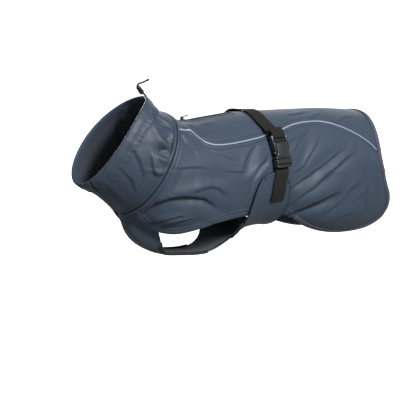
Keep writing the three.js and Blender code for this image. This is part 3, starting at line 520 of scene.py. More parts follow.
def side_map(side: int, s, t) -> tuple[np.ndarray, np.ndarray]:
    """Where a side panel's point lies.

    Args:
        side: 1 for the left, -1 for the right.
        s: Share from the collar seam to the rear hem.
        t: Share from the princess seam to the hem.

    Returns:
        x and degrees round the form.
    """
    top = Trace(PRINCESS_SEAM, side)
    bottom = Trace(SIDE_HEM, side)
    rear = Trace(REAR_HEM, side)

    def front(share):
        x0, v0 = top.at(np.zeros(1))
        v1 = bottom.at(np.zeros(1))[1]
        return np.full(np.shape(share), x0[0]), v0 + (v1 - v0) * share

    return patch(top.at, bottom.at, front, rear.at, np.asarray(s, float), np.asarray(t, float))


def tail_hem_x(v) -> np.ndarray:
    """Where the rear hem crosses the back, at degrees from the spine."""
    rows = [(-b, a) for a, b in TAIL_HEM]
    return spline(rows, 1, -np.abs(v))


def belly_map(s, t) -> tuple[np.ndarray, np.ndarray]:
    """Where a point of the bib and belly panel lies.

    Args:
        s: Share of its outline, from between the forelegs to the rear edge.
        t: From -1 at the right edge to 1 at the left edge.

    Returns:
        x and degrees round the form.
    """
    ex, ev = Trace(BELLY_EDGE).at(s)
    cx = spline(BELLY_CENTRE, 1, s)
    v = 180 - (180 - ev) * np.abs(t)
    return cx + (ex - cx) * np.asarray(t) ** 2, np.where(np.asarray(t) < 0, -v, v)


def closing(x) -> np.ndarray:
    """Degrees round the collar where its two edges meet at the throat."""
    return 180 - 0.5 * np.maximum(0, -106 - np.asarray(x, float))


def rim_x(v) -> np.ndarray:
    """Where the neck edge crosses the form, at degrees from the spine."""
    c = np.maximum(0, np.cos(np.radians(v)))
    return RIM_X + 6 * c**2 - 5 * np.sin(np.radians(v)) ** 2


def collar_map(u, t, gap: float = 0.15) -> tuple[np.ndarray, np.ndarray]:
    """Where a point of the collar lies.

    Args:
        u: Share round it, from the throat seam over the nape and back.
        t: Share from the collar seam to the neck edge.
        gap: Degrees left open at each side of the throat seam.

    Returns:
        x and degrees round the form.
    """
    around = closing(-130) - 360 + gap + u * (360 - 2 * gap)
    x = COLLAR_SEAM_X - 0.15 + t * (rim_x(around) - COLLAR_SEAM_X)
    return x, closing(x) - 360 + gap + u * (360 - 2 * gap)


def metres(points: np.ndarray) -> np.ndarray:
    """The form's frame in millimetres to the part's frame in metres."""
    return (np.asarray(points, float) - SHIFT) * MM


class Body(Enum):
    """The moving bodies of the record."""

    COAT = "coat"
    PULL_TAB = "pull_tab"


def linear(code: str) -> tuple[float, float, float, float]:
    """A colour for a shader.

    Args:
        code: Six hexadecimal digits.

    Returns:
        Red, green, blue and alpha, scene linear.
    """
    parts = [int(code[i : i + 2], 16) / 255 for i in (0, 2, 4)]
    red, green, blue = (c / 12.92 if c <= 0.04045 else ((c + 0.055) / 1.055) ** 2.4 for c in parts)
    return red, green, blue, 1.0


class Graph:
    """Short calls for building a node tree."""

    def __init__(self, tree: bpy.types.NodeTree) -> None:
        self.tree = tree
        tree.nodes.clear()

    def put(self, socket: bpy.types.NodeSocket, value) -> None:
        """Sets an input, or links it where the value is another node's output."""
        if isinstance(value, bpy.types.NodeSocket):
            self.tree.links.new(value, socket)
        else:
            socket.default_value = value

    def node(self, kind: str, sockets: dict | None = None, **settings) -> bpy.types.Node:
        """Adds a node.

        Args:
            kind: Its type, without the ShaderNode prefix where it has one.
            sockets: Values or outputs, by input name or index.
            settings: Its own properties.

        Returns:
            The node.
        """
        name = kind if kind.startswith("Node") else "ShaderNode" + kind
        made = self.tree.nodes.new(name)
        for key, value in settings.items():
            setattr(made, key, value)
        for key, value in (sockets or {}).items():
            self.put(made.inputs[key], value)
        return made

    def math(self, operation: str, a, b=0.0, clamp: bool = False) -> bpy.types.NodeSocket:
        """One step of arithmetic, as its output."""
        return self.node("Math", {0: a, 1: b}, operation=operation, use_clamp=clamp).outputs[0]

    def mix(self, share, a, b) -> bpy.types.NodeSocket:
        """A mix of two colours, as its output."""
        made = self.node("Mix", data_type="RGBA")
        self.put(made.inputs[0], share)
        self.put(made.inputs[6], a)
        self.put(made.inputs[7], b)
        return made.outputs[2]

    def noise(self, vector, scale: float, detail: float = 2.0, warp: float = 0.0):
        """Noise from 0 to 1, as its output."""
        sockets = {"Vector": vector, "Scale": scale, "Detail": detail, "Distortion": warp}
        return self.node("TexNoise", sockets).outputs[0]


def node_group(name: str, inputs: Sequence[tuple], outputs: Sequence[tuple]) -> tuple:
    """Starts a shader node group.

    Args:
        name: Its name.
        inputs: Name, socket type and default value of each input.
        outputs: Name and socket type of each output.

    Returns:
        The group, its graph, its input node and its output node.
    """
    group = bpy.data.node_groups.new(name, "ShaderNodeTree")
    for label, kind, value in inputs:
        made = group.interface.new_socket(name=label, in_out="INPUT", socket_type="NodeSocket" + kind)
        if value is not None:
            made.default_value = value
    for label, kind in outputs:
        group.interface.new_socket(name=label, in_out="OUTPUT", socket_type="NodeSocket" + kind)
    graph = Graph(group)
    return group, graph, graph.node("NodeGroupInput"), graph.node("NodeGroupOutput")


def weave_group() -> bpy.types.NodeTree:
    """Crossing threads over a piece's own UV, in metres."""
    inputs = [("UV", "Vector", None), ("Threads", "Float", 2000.0), ("Rib", "Float", 0.0)]
    group, g, start, end = node_group("ThreadWeave", inputs, [("Height", "Float"), ("Gap", "Float")])
    parts = g.node("SeparateXYZ", {0: start.outputs["UV"]})
    turn = g.math("MULTIPLY", start.outputs["Threads"], math.tau / 2)
    across = g.math("SINE", g.math("MULTIPLY", parts.outputs[0], turn))
    along = g.math("SINE", g.math("MULTIPLY", parts.outputs[1], turn))
    plain = g.math("MULTIPLY", across, along)
    rib = g.math("MULTIPLY", g.math("ABSOLUTE", across), start.outputs["Rib"])
    height = g.math("ADD", g.math("MULTIPLY", plain, 0.5), rib)
    g.put(end.inputs["Height"], g.math("ADD", height, 0.5))
    # Painted shade: this output marks where the threads part, so that the cloth's colour is darkened in the weave's
    # gaps.
    g.put(end.inputs["Gap"], g.math("SUBTRACT", 0.35, g.math("ABSOLUTE", plain), clamp=True))
    return group


def crease_group() -> bpy.types.NodeTree:
    """Fine wrinkles of a worn cloth."""
    inputs = [("Vector", "Vector", None), ("Scale", "Float", 30.0)]
    group, g, start, end = node_group("FineCreases", inputs, [("Height", "Float")])
    vector = start.outputs["Vector"]
    warp = g.node("TexNoise", {"Vector": vector, "Scale": 14.0, "Detail": 2.0})
    shift = g.node("VectorMath", {0: warp.outputs[1], 1: (0.05, 0.05, 0.05)}, operation="MULTIPLY")
    moved = g.node("VectorMath", {0: vector, 1: shift.outputs[0]}, operation="ADD").outputs[0]
    soft = g.node("TexNoise", {"Vector": moved, "Scale": start.outputs["Scale"], "Detail": 3.0}).outputs[0]
    ridge = g.math("ABSOLUTE", g.math("SUBTRACT", soft, 0.5))
    sharp = g.math("SUBTRACT", 1.0, g.math("MULTIPLY", ridge, 5.0), clamp=True)
    g.put(end.inputs["Height"], g.math("ADD", soft, g.math("MULTIPLY", sharp, 0.25)))
    return group


def tone_group() -> bpy.types.NodeTree:
    """Slow drifts of colour, painted shade in the gaps between threads and in hollow creases, and rubbed edges that
    also paint highlights on the ridges.
    """
    inputs = [
        ("Vector", "Vector", None),
        ("Base", "Color", (0.1, 0.1, 0.1, 1.0)),
        ("Worn", "Color", (0.2, 0.2, 0.2, 1.0)),
        ("Gap", "Float", 0.0),
        ("Drift", "Float", 0.1),
        ("Wear", "Float", 0.3),
    ]
    group, g, start, end = node_group("ClothTone", inputs, [("Color", "Color"), ("Rough", "Float")])
    vector = start.outputs["Vector"]
    slow = g.noise(vector, 9.0, 3.0, 0.4)
    fine = g.noise(vector, 420.0, 2.0)
    value = g.math("ADD", g.math("MULTIPLY", slow, 1.4), g.math("MULTIPLY", fine, 0.6))
    level = g.math("MULTIPLY", g.math("SUBTRACT", value, 1.0), start.outputs["Drift"])
    # Painted shade: colour darkened in the gaps between threads.
    level = g.math("SUBTRACT", g.math("ADD", level, 1.0), g.math("MULTIPLY", start.outputs["Gap"], 0.5))
    point = g.node("NewGeometry").outputs["Pointiness"]
    # Painted shade: colour darkened in hollow creases, found from the mesh's pointiness.
    crease_shade = g.math("MULTIPLY", g.math("SUBTRACT", 0.495, point), 9.0, clamp=True)
    level = g.math("MULTIPLY", level, g.math("SUBTRACT", 1.0, g.math("MULTIPLY", crease_shade, 0.6)))
    toned = g.node("HueSaturation", {"Color": start.outputs["Base"], "Value": level})
    # Rubbed edges in the worn colour, which also paints highlights along the ridges of the creases.
    edge = g.math("MULTIPLY", g.math("SUBTRACT", point, 0.52), 14.0, clamp=True)
    rubbed_and_ridge_highlight = g.math("MULTIPLY", edge, g.math("MULTIPLY", g.noise(vector, 160.0, 4.0), start.outputs["Wear"]))
    g.put(end.inputs["Color"], g.mix(rubbed_and_ridge_highlight, toned.outputs[0], start.outputs["Worn"]))
    g.put(end.inputs["Rough"], g.math("MULTIPLY", g.math("SUBTRACT", slow, 0.5), 0.25))
    return group


def grain_group() -> bpy.types.NodeTree:
    """Moulded plastic's fine grain and scuffs."""
    inputs = [("Vector", "Vector", None), ("Scale", "Float", 900.0)]
    group, g, start, end = node_group("MouldGrain", inputs, [("Height", "Float"), ("Scuff", "Float")])
    vector = start.outputs["Vector"]
    grain = g.node("TexNoise", {"Vector": vector, "Scale": start.outputs["Scale"], "Detail": 2.0})
    stretched = g.node("Mapping", {"Vector": vector, "Scale": (60.0, 700.0, 700.0)}).outputs[0]
    lines = g.noise(stretched, 1.0, 3.0, 0.3)
    point = g.node("NewGeometry").outputs["Pointiness"]
    edge = g.math("MULTIPLY", g.math("SUBTRACT", point, 0.53), 12.0, clamp=True)
    scratch = g.math("MULTIPLY", g.math("SUBTRACT", lines, 0.62, clamp=True), 3.0)
    g.put(end.inputs["Height"], grain.outputs[0])
    g.put(end.inputs["Scuff"], g.math("ADD", scratch, g.math("MULTIPLY", edge, 0.5), clamp=True))
    return group


class Groups:
    """The shared effects, each made once."""

    _made: dict[str, bpy.types.NodeTree] = {}

    @classmethod
    def get(cls, maker: Callable[[], bpy.types.NodeTree]) -> bpy.types.NodeTree:
        """The group that a maker builds."""
        if maker.__name__ not in cls._made:
            cls._made[maker.__name__] = maker()
        return cls._made[maker.__name__]


def use_group(g: Graph, maker: Callable, sockets: dict) -> bpy.types.Node:
    """Adds a shared effect to a material."""
    made = g.tree.nodes.new("ShaderNodeGroup")
    made.node_tree = Groups.get(maker)
    for key, value in sockets.items():
        g.put(made.inputs[key], value)
    return made


def new_material(name: str, shader: dict, slot_colour: tuple) -> tuple[bpy.types.Material, Graph, bpy.types.Node]:
    """Starts a material.

    Args:
        name: Its name.
        shader: Fixed values of the main shader's sockets.
        slot_colour: Colour shown outside renders.

    Returns:
        The material, its graph and its main shader.
    """
    material = bpy.data.materials.new(name)
    material.use_nodes = True
    material.diffuse_color = slot_colour
    graph = Graph(material.node_tree)
    main = graph.node("BsdfPrincipled", shader)
    graph.node("OutputMaterial", {"Surface": main.outputs[0]})
    return material, graph, main


@dataclass(frozen=True)
class ClothFinish:
    """A woven cloth: its colours, threads a metre, relief and how it catches the light."""

    name: str
    colour: str
    # worn: colour of rubbed edges, also used as painted highlight on crease ridges.
    worn: str
    rough: float
    threads: float = 2200.0
    rib: float = 0.0
    weave: float = 0.00006
    crease: float = 0.0006
    crease_scale: float = 30.0
    drift: float = 0.12
    wear: float = 0.35
    sheen: float = 0.0
    specular: float = 0.4

    def material(self) -> bpy.types.Material:
        """Builds the material once."""
        found = bpy.data.materials.get("made_" + self.name)
        if found:
            return found
        fixed = {
            "Sheen Weight": self.sheen,
            "Sheen Roughness": 0.45,
            "Specular IOR Level": self.specular,
        }
        made, g, main = new_material("made_" + self.name, fixed, linear(self.colour))
        coords = g.node("TexCoord")
        place = coords.outputs["Object"]
        weave = use_group(g, weave_group, {"UV": coords.outputs["UV"], "Threads": self.threads, "Rib": self.rib})
        crease = use_group(g, crease_group, {"Vector": place, "Scale": self.crease_scale})
        words = {
            "Vector": place,
            "Base": linear(self.colour),
            "Worn": linear(self.worn),
            "Gap": weave.outputs["Gap"],
            "Drift": self.drift,
            "Wear": self.wear,
        }
        tone = use_group(g, tone_group, words)
        g.put(main.inputs["Base Color"], tone.outputs["Color"])
        g.put(main.inputs["Roughness"], g.math("ADD", tone.outputs["Rough"], self.rough, clamp=True))
        first = g.node("Bump", {"Strength": 1.0, "Distance": self.crease, "Height": crease.outputs[0]})
        sockets = {"Strength": 1.0, "Distance": self.weave, "Height": weave.outputs["Height"]}
        second = g.node("Bump", sockets | {"Normal": first.outputs[0]})
        g.put(main.inputs["Normal"], second.outputs[0])
        return made


@dataclass(frozen=True)
class MouldedFinish:
    """Moulded plastic or cast metal."""

    name: str
    colour: str
    scuffed: str
    rough: float
    metallic: float = 0.0
    grain: float = 0.00002
    grain_scale: float = 900.0
    coat: float = 0.0
    specular: float = 0.5

    def material(self) -> bpy.types.Material:
        """Builds the material once."""
        found = bpy.data.materials.get("made_" + self.name)
        if found:
            return found
        fixed = {"Coat Roughness": 0.12, "Specular IOR Level": self.specular, "Metallic": self.metallic}
        made, g, main = new_material("made_" + self.name, fixed | {"Coat Weight": self.coat}, linear(self.colour))
        place = g.node("TexCoord").outputs["Object"]
        grain = use_group(g, grain_group, {"Vector": place, "Scale": self.grain_scale})
        drift = g.math("ADD", g.math("MULTIPLY", g.noise(place, 60.0, 3.0), 0.3), 0.85)
        toned = g.node("HueSaturation", {"Color": linear(self.colour), "Value": drift})
        colour = g.mix(grain.outputs["Scuff"], toned.outputs[0], linear(self.scuffed))
        g.put(main.inputs["Base Color"], colour)
        rough = g.math("ADD", g.math("MULTIPLY", grain.outputs["Scuff"], 0.2), self.rough, clamp=True)
        g.put(main.inputs["Roughness"], rough)
        sockets = {"Strength": 1.0, "Distance": self.grain, "Height": grain.outputs["Height"]}
        g.put(main.inputs["Normal"], g.node("Bump", sockets).outputs[0])
        return made


COAT_CLOTH = ClothFinish("coat_cloth", "384452", "6a7684", 0.46, weave=0.00003, specular=0.2)
# A slightly darker copy of the coat cloth for the collar and its channel: painted shade.
SHADED_COLLAR_CLOTH = ClothFinish("collar_cloth", "364250", "636f7d", 0.46, weave=0.00003, specular=0.2)
BINDING = ClothFinish("hem_binding", "454858", "6b6e7e", 0.7, threads=1300.0, weave=0.00012, crease=0.0003)
BIB_BINDING = ClothFinish("bib_binding", "15171b", "34363f", 0.75, threads=1300.0, weave=0.00012, crease=0.0003)
BLACK_LINING = ClothFinish("black_lining", "111214", "292b2f", 0.8, threads=1500.0, weave=0.0001, crease=0.0008)
WEBBING = ClothFinish(
    "webbing", "20211f", "3d3e39", 0.85, threads=620.0, rib=0.7, weave=0.0003, crease=0.0001, specular=0.15
)
ZIP_TAPE = ClothFinish("zip_tape", "24262c", "45484f", 0.85, threads=900.0, rib=0.6, weave=0.00016, crease=0.0001)
REFLECTIVE = ClothFinish(
    "reflective_piping", "8c9cac", "aab7c3", 0.38, threads=1500.0, weave=0.00006, crease=0.0001, specular=0.7
)
BACKING = ClothFinish("coat_backing", "30363f", "4c535d", 0.7, threads=1800.0, crease=0.0005)
THREAD = ClothFinish("thread", "1d242e", "3c4652", 0.6, threads=4000.0, weave=0.00005, crease=0.0001)
# Dark tubes laid in seams, under the piping and along the flap's edge: painted shadow lines, not thread.
PAINTED_SHADOW_LINE = ClothFinish("edge_thread", "161b23", "3c4450", 0.7, weave=0.0, crease=0.0002, specular=0.15)
DARK_THREAD = ClothFinish("dark_thread", "26272a", "55575c", 0.6, threads=4000.0, weave=0.00005, crease=0.0001)
CORD_CLOTH = ClothFinish(
    "black_cord", "141517", "3a3b3e", 0.8, threads=900.0, rib=0.3, weave=0.0003, crease=0.0001, sheen=0.1
)
BUCKLE_PLASTIC = MouldedFinish("buckle_plastic", "181a19", "464844", 0.26, grain=0.00001, coat=0.6)
LOCK_PLASTIC = MouldedFinish("black_plastic", "17181a", "3f4144", 0.38)
ZIP_METAL = MouldedFinish("zip_metal", "3a3c40", "8e9196", 0.34, metallic=0.85, grain=0.00001)


@dataclass(frozen=True)
class GlowFinish:
    """The lit paper behind the coat."""

    name: str
    strength: float

    def material(self) -> bpy.types.Material:
        """Builds the material once."""
        made, g, main = new_material("made_" + self.name, {"Emission Strength": self.strength}, (1.0, 1.0, 1.0, 1.0))
        place = g.node("TexCoord").outputs["Object"]
        tone = g.math("ADD", g.math("MULTIPLY", g.noise(place, 3.0), 0.02), 0.99)
        g.put(main.inputs["Emission Color"], g.node("CombineColor", {0: tone, 1: tone, 2: tone}).outputs[0])
        return made


GLOW = GlowFinish("studio_paper", 1.0)
FLOOR = GlowFinish("studio_floor", 0.6)


def declare(obj: bpy.types.Object, body: Body = Body.COAT, replaced: Sequence[str] = ()) -> None:
    """Gives a piece its body and hides the solids that it stands for."""
    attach(obj, body.value)
    if replaced:
        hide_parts(*replaced)
    LOG.info("%s: %d faces on %s", obj.name, len(obj.data.polygons), body.value)


def object_from(name: str, bm: bmesh.types.BMesh, finish, smooth_faces: bool = True) -> bpy.types.Object:
    """Turns a bmesh into an object at the origin.

    Args:
        name: Its name.
        bm: The mesh, which is freed.
        finish: Its finish.
        smooth_faces: Whether its faces are shaded smooth.

    Returns:
        The object.
    """
    mesh = bpy.data.meshes.new(name)
    for face in bm.faces:
        face.smooth = smooth_faces
    bm.to_mesh(mesh)
    bm.free()
    mesh.materials.append(finish.material())
    obj = bpy.data.objects.new(name, mesh)
    bpy.context.scene.collection.objects.link(obj)
    return obj


def arc(points: np.ndarray, axis: int) -> np.ndarray:
    """Length along the cloth from the first row or column of a grid of points."""
    step = np.linalg.norm(np.diff(points, axis=axis), axis=-1)
    start = np.zeros_like(np.take(step, [0], axis=axis))
    return np.concatenate([start, np.cumsum(step, axis=axis)], axis=axis)


def cloth_grid(
    name: str,
    points: np.ndarray,
    finish: ClothFinish,
    thickness: float,
    outward: np.ndarray,
    drop: np.ndarray | None = None,
) -> bpy.types.Object:
    """A sheet through a grid of points, with its wall laid inside.

    Args:
        name: The piece's name.
        points: Outer face in the form's frame, rows by columns by 3.
        finish: Its cloth.
        thickness: Wall in millimetres.
        outward: A direction out of the cloth at the middle of the grid.
        drop: Cells to leave open, rows - 1 by columns - 1.

    Returns:
        The object.
    """
    rows, columns = points.shape[:2]
    bm = bmesh.new()
    bmesh.ops.create_grid(bm, x_segments=columns - 1, y_segments=rows - 1, size=1.0)
    bm.verts.ensure_lookup_table()
    at = np.array([v.co[:2] for v in bm.verts])
    i = np.rint((at[:, 1] + 1) / 2 * (rows - 1)).astype(int)
    j = np.rint((at[:, 0] + 1) / 2 * (columns - 1)).astype(int)
    if drop is not None:
        closed = [f for f in bm.faces if drop[min(i[v.index] for v in f.verts), min(j[v.index] for v in f.verts)]]
        bmesh.ops.delete(bm, geom=closed, context="FACES_ONLY")
    placed = metres(points[i, j])
    for vert, co in zip(bm.verts, placed):
        vert.co = co
    length = arc(points, 0)
    width = arc(points, 1)
    uv = np.stack([width[i, j], length[i, j]], -1) * MM
    layer = bm.loops.layers.uv.new("UVMap")
    for face in bm.faces:
        for loop in face.loops:
            loop[layer].uv = uv[loop.vert.index]
    loose = [v for v in bm.verts if not v.link_faces]
    bm.normal_update()
    a, b = rows // 2, columns // 2
    facing = Vector(np.cross(points[a, b + 1] - points[a, b], points[a + 1, b] - points[a, b]))
    if facing.dot(Vector(outward)) < 0:
        bmesh.ops.reverse_faces(bm, faces=bm.faces[:])
    if loose:
        bmesh.ops.delete(bm, geom=loose, context="VERTS")
    obj = object_from(name, bm, finish)
    wall = obj.modifiers.new("wall", "SOLIDIFY")
    wall.thickness = thickness * MM
    wall.offset = -1.0
    wall.use_even_offset = False
    return obj


SEAM_ROWS = (0, 0.6, 1.3, 2.2, 3.4, 5, 6, 6.6, 7.2, 8.4, 10)
HEM_ROWS = (0, 0.5, 1.1, 2, 3.5, 5.5, 7.5, 8.6, 9.2, 9.8, 11, 12.2, 13.2, 14.5)
LIP_ROWS = (0, 0.5, 1.1, 2, 3, 4, 4.6, 5.2, 6.2, 7.4)


def seam_profile(d: np.ndarray) -> np.ndarray:
    """Height of the cloth beside a seam: rolled in at the seam, full, then pressed by a topstitch."""
    return 0.35 * bump(d - 3.2, 1.6) - 1.2 * bump(d, 1.2) - 0.7 * bump(d - 6.6, 0.9)


def hem_profile(d: np.ndarray) -> np.ndarray:
    """Height of the cloth beside its turned hem, with the line that holds the hem down."""
    return 0.8 * smooth((13.4 - d) / 1.4) - 0.8 * bump(d - 9.2, 0.9) - 0.9 * bump(d, 0.7)


def flap_profile(d: np.ndarray) -> np.ndarray:
    """Height of the cloth beside the flap's edge."""
    return 0.3 * bump(d - 2.8, 1.8) - 0.8 * bump(d, 0.8) - 0.6 * bump(d - 5.5, 0.8)


def lip_profile(d: np.ndarray) -> np.ndarray:
    """Height of the cloth beside the lead opening."""
    return 0.6 * smooth((6.2 - d) / 1.2) - 0.3 * bump(d - 4.6, 0.6) - 0.7 * bump(d, 0.6)


def spread(place: Form, s: np.ndarray, first: Sequence[float], last: Sequence[float], count: int):
    """Shares across a panel, close together beside its two edges.

    Args:
        place: Points of the panel for shares along and across it.
        s: Shares along it, one for each row of the grid.
        first: Distances of the first lines from the near edge, in millimetres.
        last: Distances of the last lines from the far edge, the edge itself first.
        count: How many lines lie between them.

    Returns:
        The shares across, and the distances from the near and from the far edge.
    """
    fine = np.linspace(0, 1, 121)
    length = arc(place(*np.meshgrid(s, fine, indexing="ij")), 1)
    whole = length[:, -1:]
    squeeze = np.minimum(1, 0.8 * whole / (first[-1] + last[-1] + 1e-9))
    head = np.array(first, float) * squeeze
    tail = whole - np.array(last, float)[::-1] * squeeze
    between = head[:, -1:] + (tail[:, :1] - head[:, -1:]) * np.linspace(0, 1, count + 2)[1:-1]
    distance = np.concatenate([head, between, tail], 1)
    shares = np.stack([np.interp(d, l, fine) for d, l in zip(distance, length)])
    return shares, distance, whole - distance


def stations_along(place: Form, first: Sequence[float], count: int, across: float = 0.5) -> np.ndarray:
    """Shares along a panel, close together at its front edge."""
    fine = np.linspace(0, 1, 241)
    length = arc(place(fine, np.full(fine.shape, across))[:, None], 0)[:, 0]
    distance = np.concatenate([first[:-1], np.linspace(first[-1], length[-1], count)])
    return np.interp(distance, length, fine)


@dataclass(frozen=True)
class Line:
    """A line of points on the cloth with the direction out of it at each."""

    points: np.ndarray
    normals: np.ndarray

    def resampled(self, pitch: float) -> tuple[np.ndarray, np.ndarray, np.ndarray]:
        """Evenly spaced places along the line.

        Args:
            pitch: Distance between them in millimetres.

        Returns:
            Middle points, unit directions along and unit directions out.
        """
        length = arc(self.points[:, None], 0)[:, 0]
        count = max(2, int(length[-1] / pitch))
        at = (np.arange(count) + 0.5) * length[-1] / count

        def take(values: np.ndarray, where: np.ndarray) -> np.ndarray:
            return np.stack([np.interp(where, length, values[:, k]) for k in range(3)], -1)

        along = take(self.points, at + 0.4) - take(self.points, at - 0.4)
        along /= np.linalg.norm(along, axis=1, keepdims=True)
        out = take(self.normals, at)
        out -= along * np.sum(out * along, 1, keepdims=True)
        out /= np.linalg.norm(out, axis=1, keepdims=True)
        return take(self.points, at), along, out


def line_on(place: Callable, x: np.ndarray, v: np.ndarray, out: np.ndarray | float) -> Line:
    """A line laid on the cloth.

    Args:
        place: Points over the form for x, v and out.
        x: Places along the form.
        v: Degrees round it.
        out: Millimetres over the form.

    Returns:
        The line.
    """
    points = place(x, v, out)
    return Line(points, place(x, v, np.asarray(out) + 1) - points)


@dataclass
class ClothPanel:
    """One cut piece of cloth, as a grid of places on the form and its height there."""

    name: str
    nodes: tuple[str, ...]
    slot: str
    finish: ClothFinish
    flat: tuple[float, float]
    area: float
    rests_on: tuple[str, ...]
    place: Callable
    x: np.ndarray
    v: np.ndarray
    out: np.ndarray
    wall: float = 1.4
    drop: np.ndarray | None = None

    def contour(self, distance: np.ndarray, value: float, axis: int, lift: float = 0.1) -> Line:
        """A line at a fixed distance from one edge.

        Args:
            distance: Distance of each grid point from that edge.
            value: Where the line runs, in millimetres.
            axis: The grid axis that runs away from the edge.
            lift: Height over the cloth.

        Returns:
            The line, one point for each line of the other axis.
        """
        grids = [self.x, self.v, self.out, distance]
        if axis == 0:
            grids = [g.T for g in grids]
        x, v, out, far = grids
        order = 1 if far[0, -1] > far[0, 0] else -1
        found = []
        for values in (x, v, out):
            found.append(np.array([np.interp(value, f[::order], g[::order]) for f, g in zip(far, values)]))
        return line_on(self.place, found[0], found[1], found[2] + lift)

    def build(self) -> bpy.types.Object:
        points = self.place(self.x, self.v, self.out)
        a, b = points.shape[0] // 2, points.shape[1] // 2
        x, v = self.x[a, b], self.v[a, b]
        outward = self.place(x, v, self.out[a, b] + 1) - self.place(x, v, self.out[a, b])
        obj = cloth_grid(self.name, points, self.finish, self.wall, outward, self.drop)
        obj.data.materials.append(BACKING.material())
        obj.modifiers["wall"].material_offset = 1
        declare(obj, replaced=self.nodes)
        return obj


class Stitching:
    """Rows of thread, joined into one piece for each thread."""

    LENGTH = 2.5
    PITCH = 3.3

    def __init__(self) -> None:
        self.rows: dict[str, list[tuple[np.ndarray, np.ndarray, np.ndarray]]] = {}

    def add(self, thread: str, line: Line, pitch: float = PITCH) -> None:
        """Adds a row of stitches.

        Args:
            thread: Which piece it goes into.
            line: Where it runs.
            pitch: Millimetres from stitch to stitch.
        """
        self.rows.setdefault(thread, []).append(line.resampled(pitch))

    @staticmethod
    def _stitch() -> tuple[np.ndarray, list[list[int]]]:
        bm = bmesh.new()
        bmesh.ops.create_uvsphere(bm, u_segments=6, v_segments=4, radius=1.0)
        bmesh.ops.rotate(bm, verts=bm.verts, matrix=Matrix.Rotation(math.pi / 2, 3, "Y"))
        bmesh.ops.scale(bm, verts=bm.verts, vec=(Stitching.LENGTH / 2, 0.3, 0.24))
        points = np.array([v.co[:] for v in bm.verts])
        faces = [[v.index for v in f.verts] for f in bm.faces]
        bm.free()
        return points, faces

    def build(self, finishes: dict[str, ClothFinish], slots: dict[str, str]) -> None:
        """Makes one joined piece for each thread."""
        template, faces = self._stitch()
        for thread, rows in self.rows.items():
            middle, along, out = (np.concatenate(part) for part in zip(*rows))
            side = np.cross(out, along)
            axes = np.stack([along, side, out], 1)
            points = middle[:, None] + np.einsum("kc,ncd->nkd", template, axes)
            count = len(template)
            joined = [[k * count + i for i in f] for k in range(len(middle)) for f in faces]
            mesh = bpy.data.meshes.new(thread)
            mesh.from_pydata(metres(points.reshape(-1, 3)).tolist(), [], joined)
            mesh.shade_smooth()
            mesh.materials.append(finishes[thread].material())
            obj = bpy.data.objects.new(thread, mesh)
            bpy.context.scene.collection.objects.link(obj)
            declare(obj)


STITCHES = Stitching()


@dataclass(frozen=True)
class SidePanel:
    """One side of the coat, from the princess seam to the turned hem."""

    side: int

    def _place(self, s, t) -> np.ndarray:
        return on_flat(*side_map(self.side, s, t), WALL)

    def build(self) -> None:
        """Makes the panel and its stitching."""
        word = "left" if self.side > 0 else "right"
        s = stations_along(self._place, SEAM_ROWS, 280)
        t, from_seam, from_hem = spread(self._place, s, SEAM_ROWS, HEM_ROWS, 130)
        grid_s = np.broadcast_to(s[:, None], t.shape)
        x, v = side_map(self.side, grid_s, t)
        from_front = arc(self._place(grid_s, t), 0)
        hemmed = smooth((152 - x) / 6)
        wave = 0.22 * np.sin(from_front / 1.15) * bump(from_hem - 8, 5)
        out = WALL + seam_profile(from_seam) + seam_profile(from_front)
        out += hemmed * (hem_profile(from_hem) + wave) - (1 - hemmed) * 0.3 * bump(from_hem, 2)
        panel = ClothPanel(
            "side_cloth_" + word,
            ("side_panel_" + word,),
            "coat_cloth",
            COAT_CLOTH,
            (0.235, 0.465),
            0.068,
            ("collar_cloth", "back_cloth"),
            on_coat,
            x,
            v,
            out,
        )
        panel.build()
        hem = panel.contour(from_hem, 9.2, 1)
        keep = panel.contour(from_hem, 0.0, 1).points[:, 0] < 150
        STITCHES.add("stitching_coat", Line(hem.points[keep], hem.normals[keep]))
        STITCHES.add("stitching_coat", panel.contour(from_front, 6.6, 0))
        below = panel.contour(from_seam, 6.6, 1)
        STITCHES.add("stitching_coat", Line(below.points[4:-3], below.normals[4:-3]))


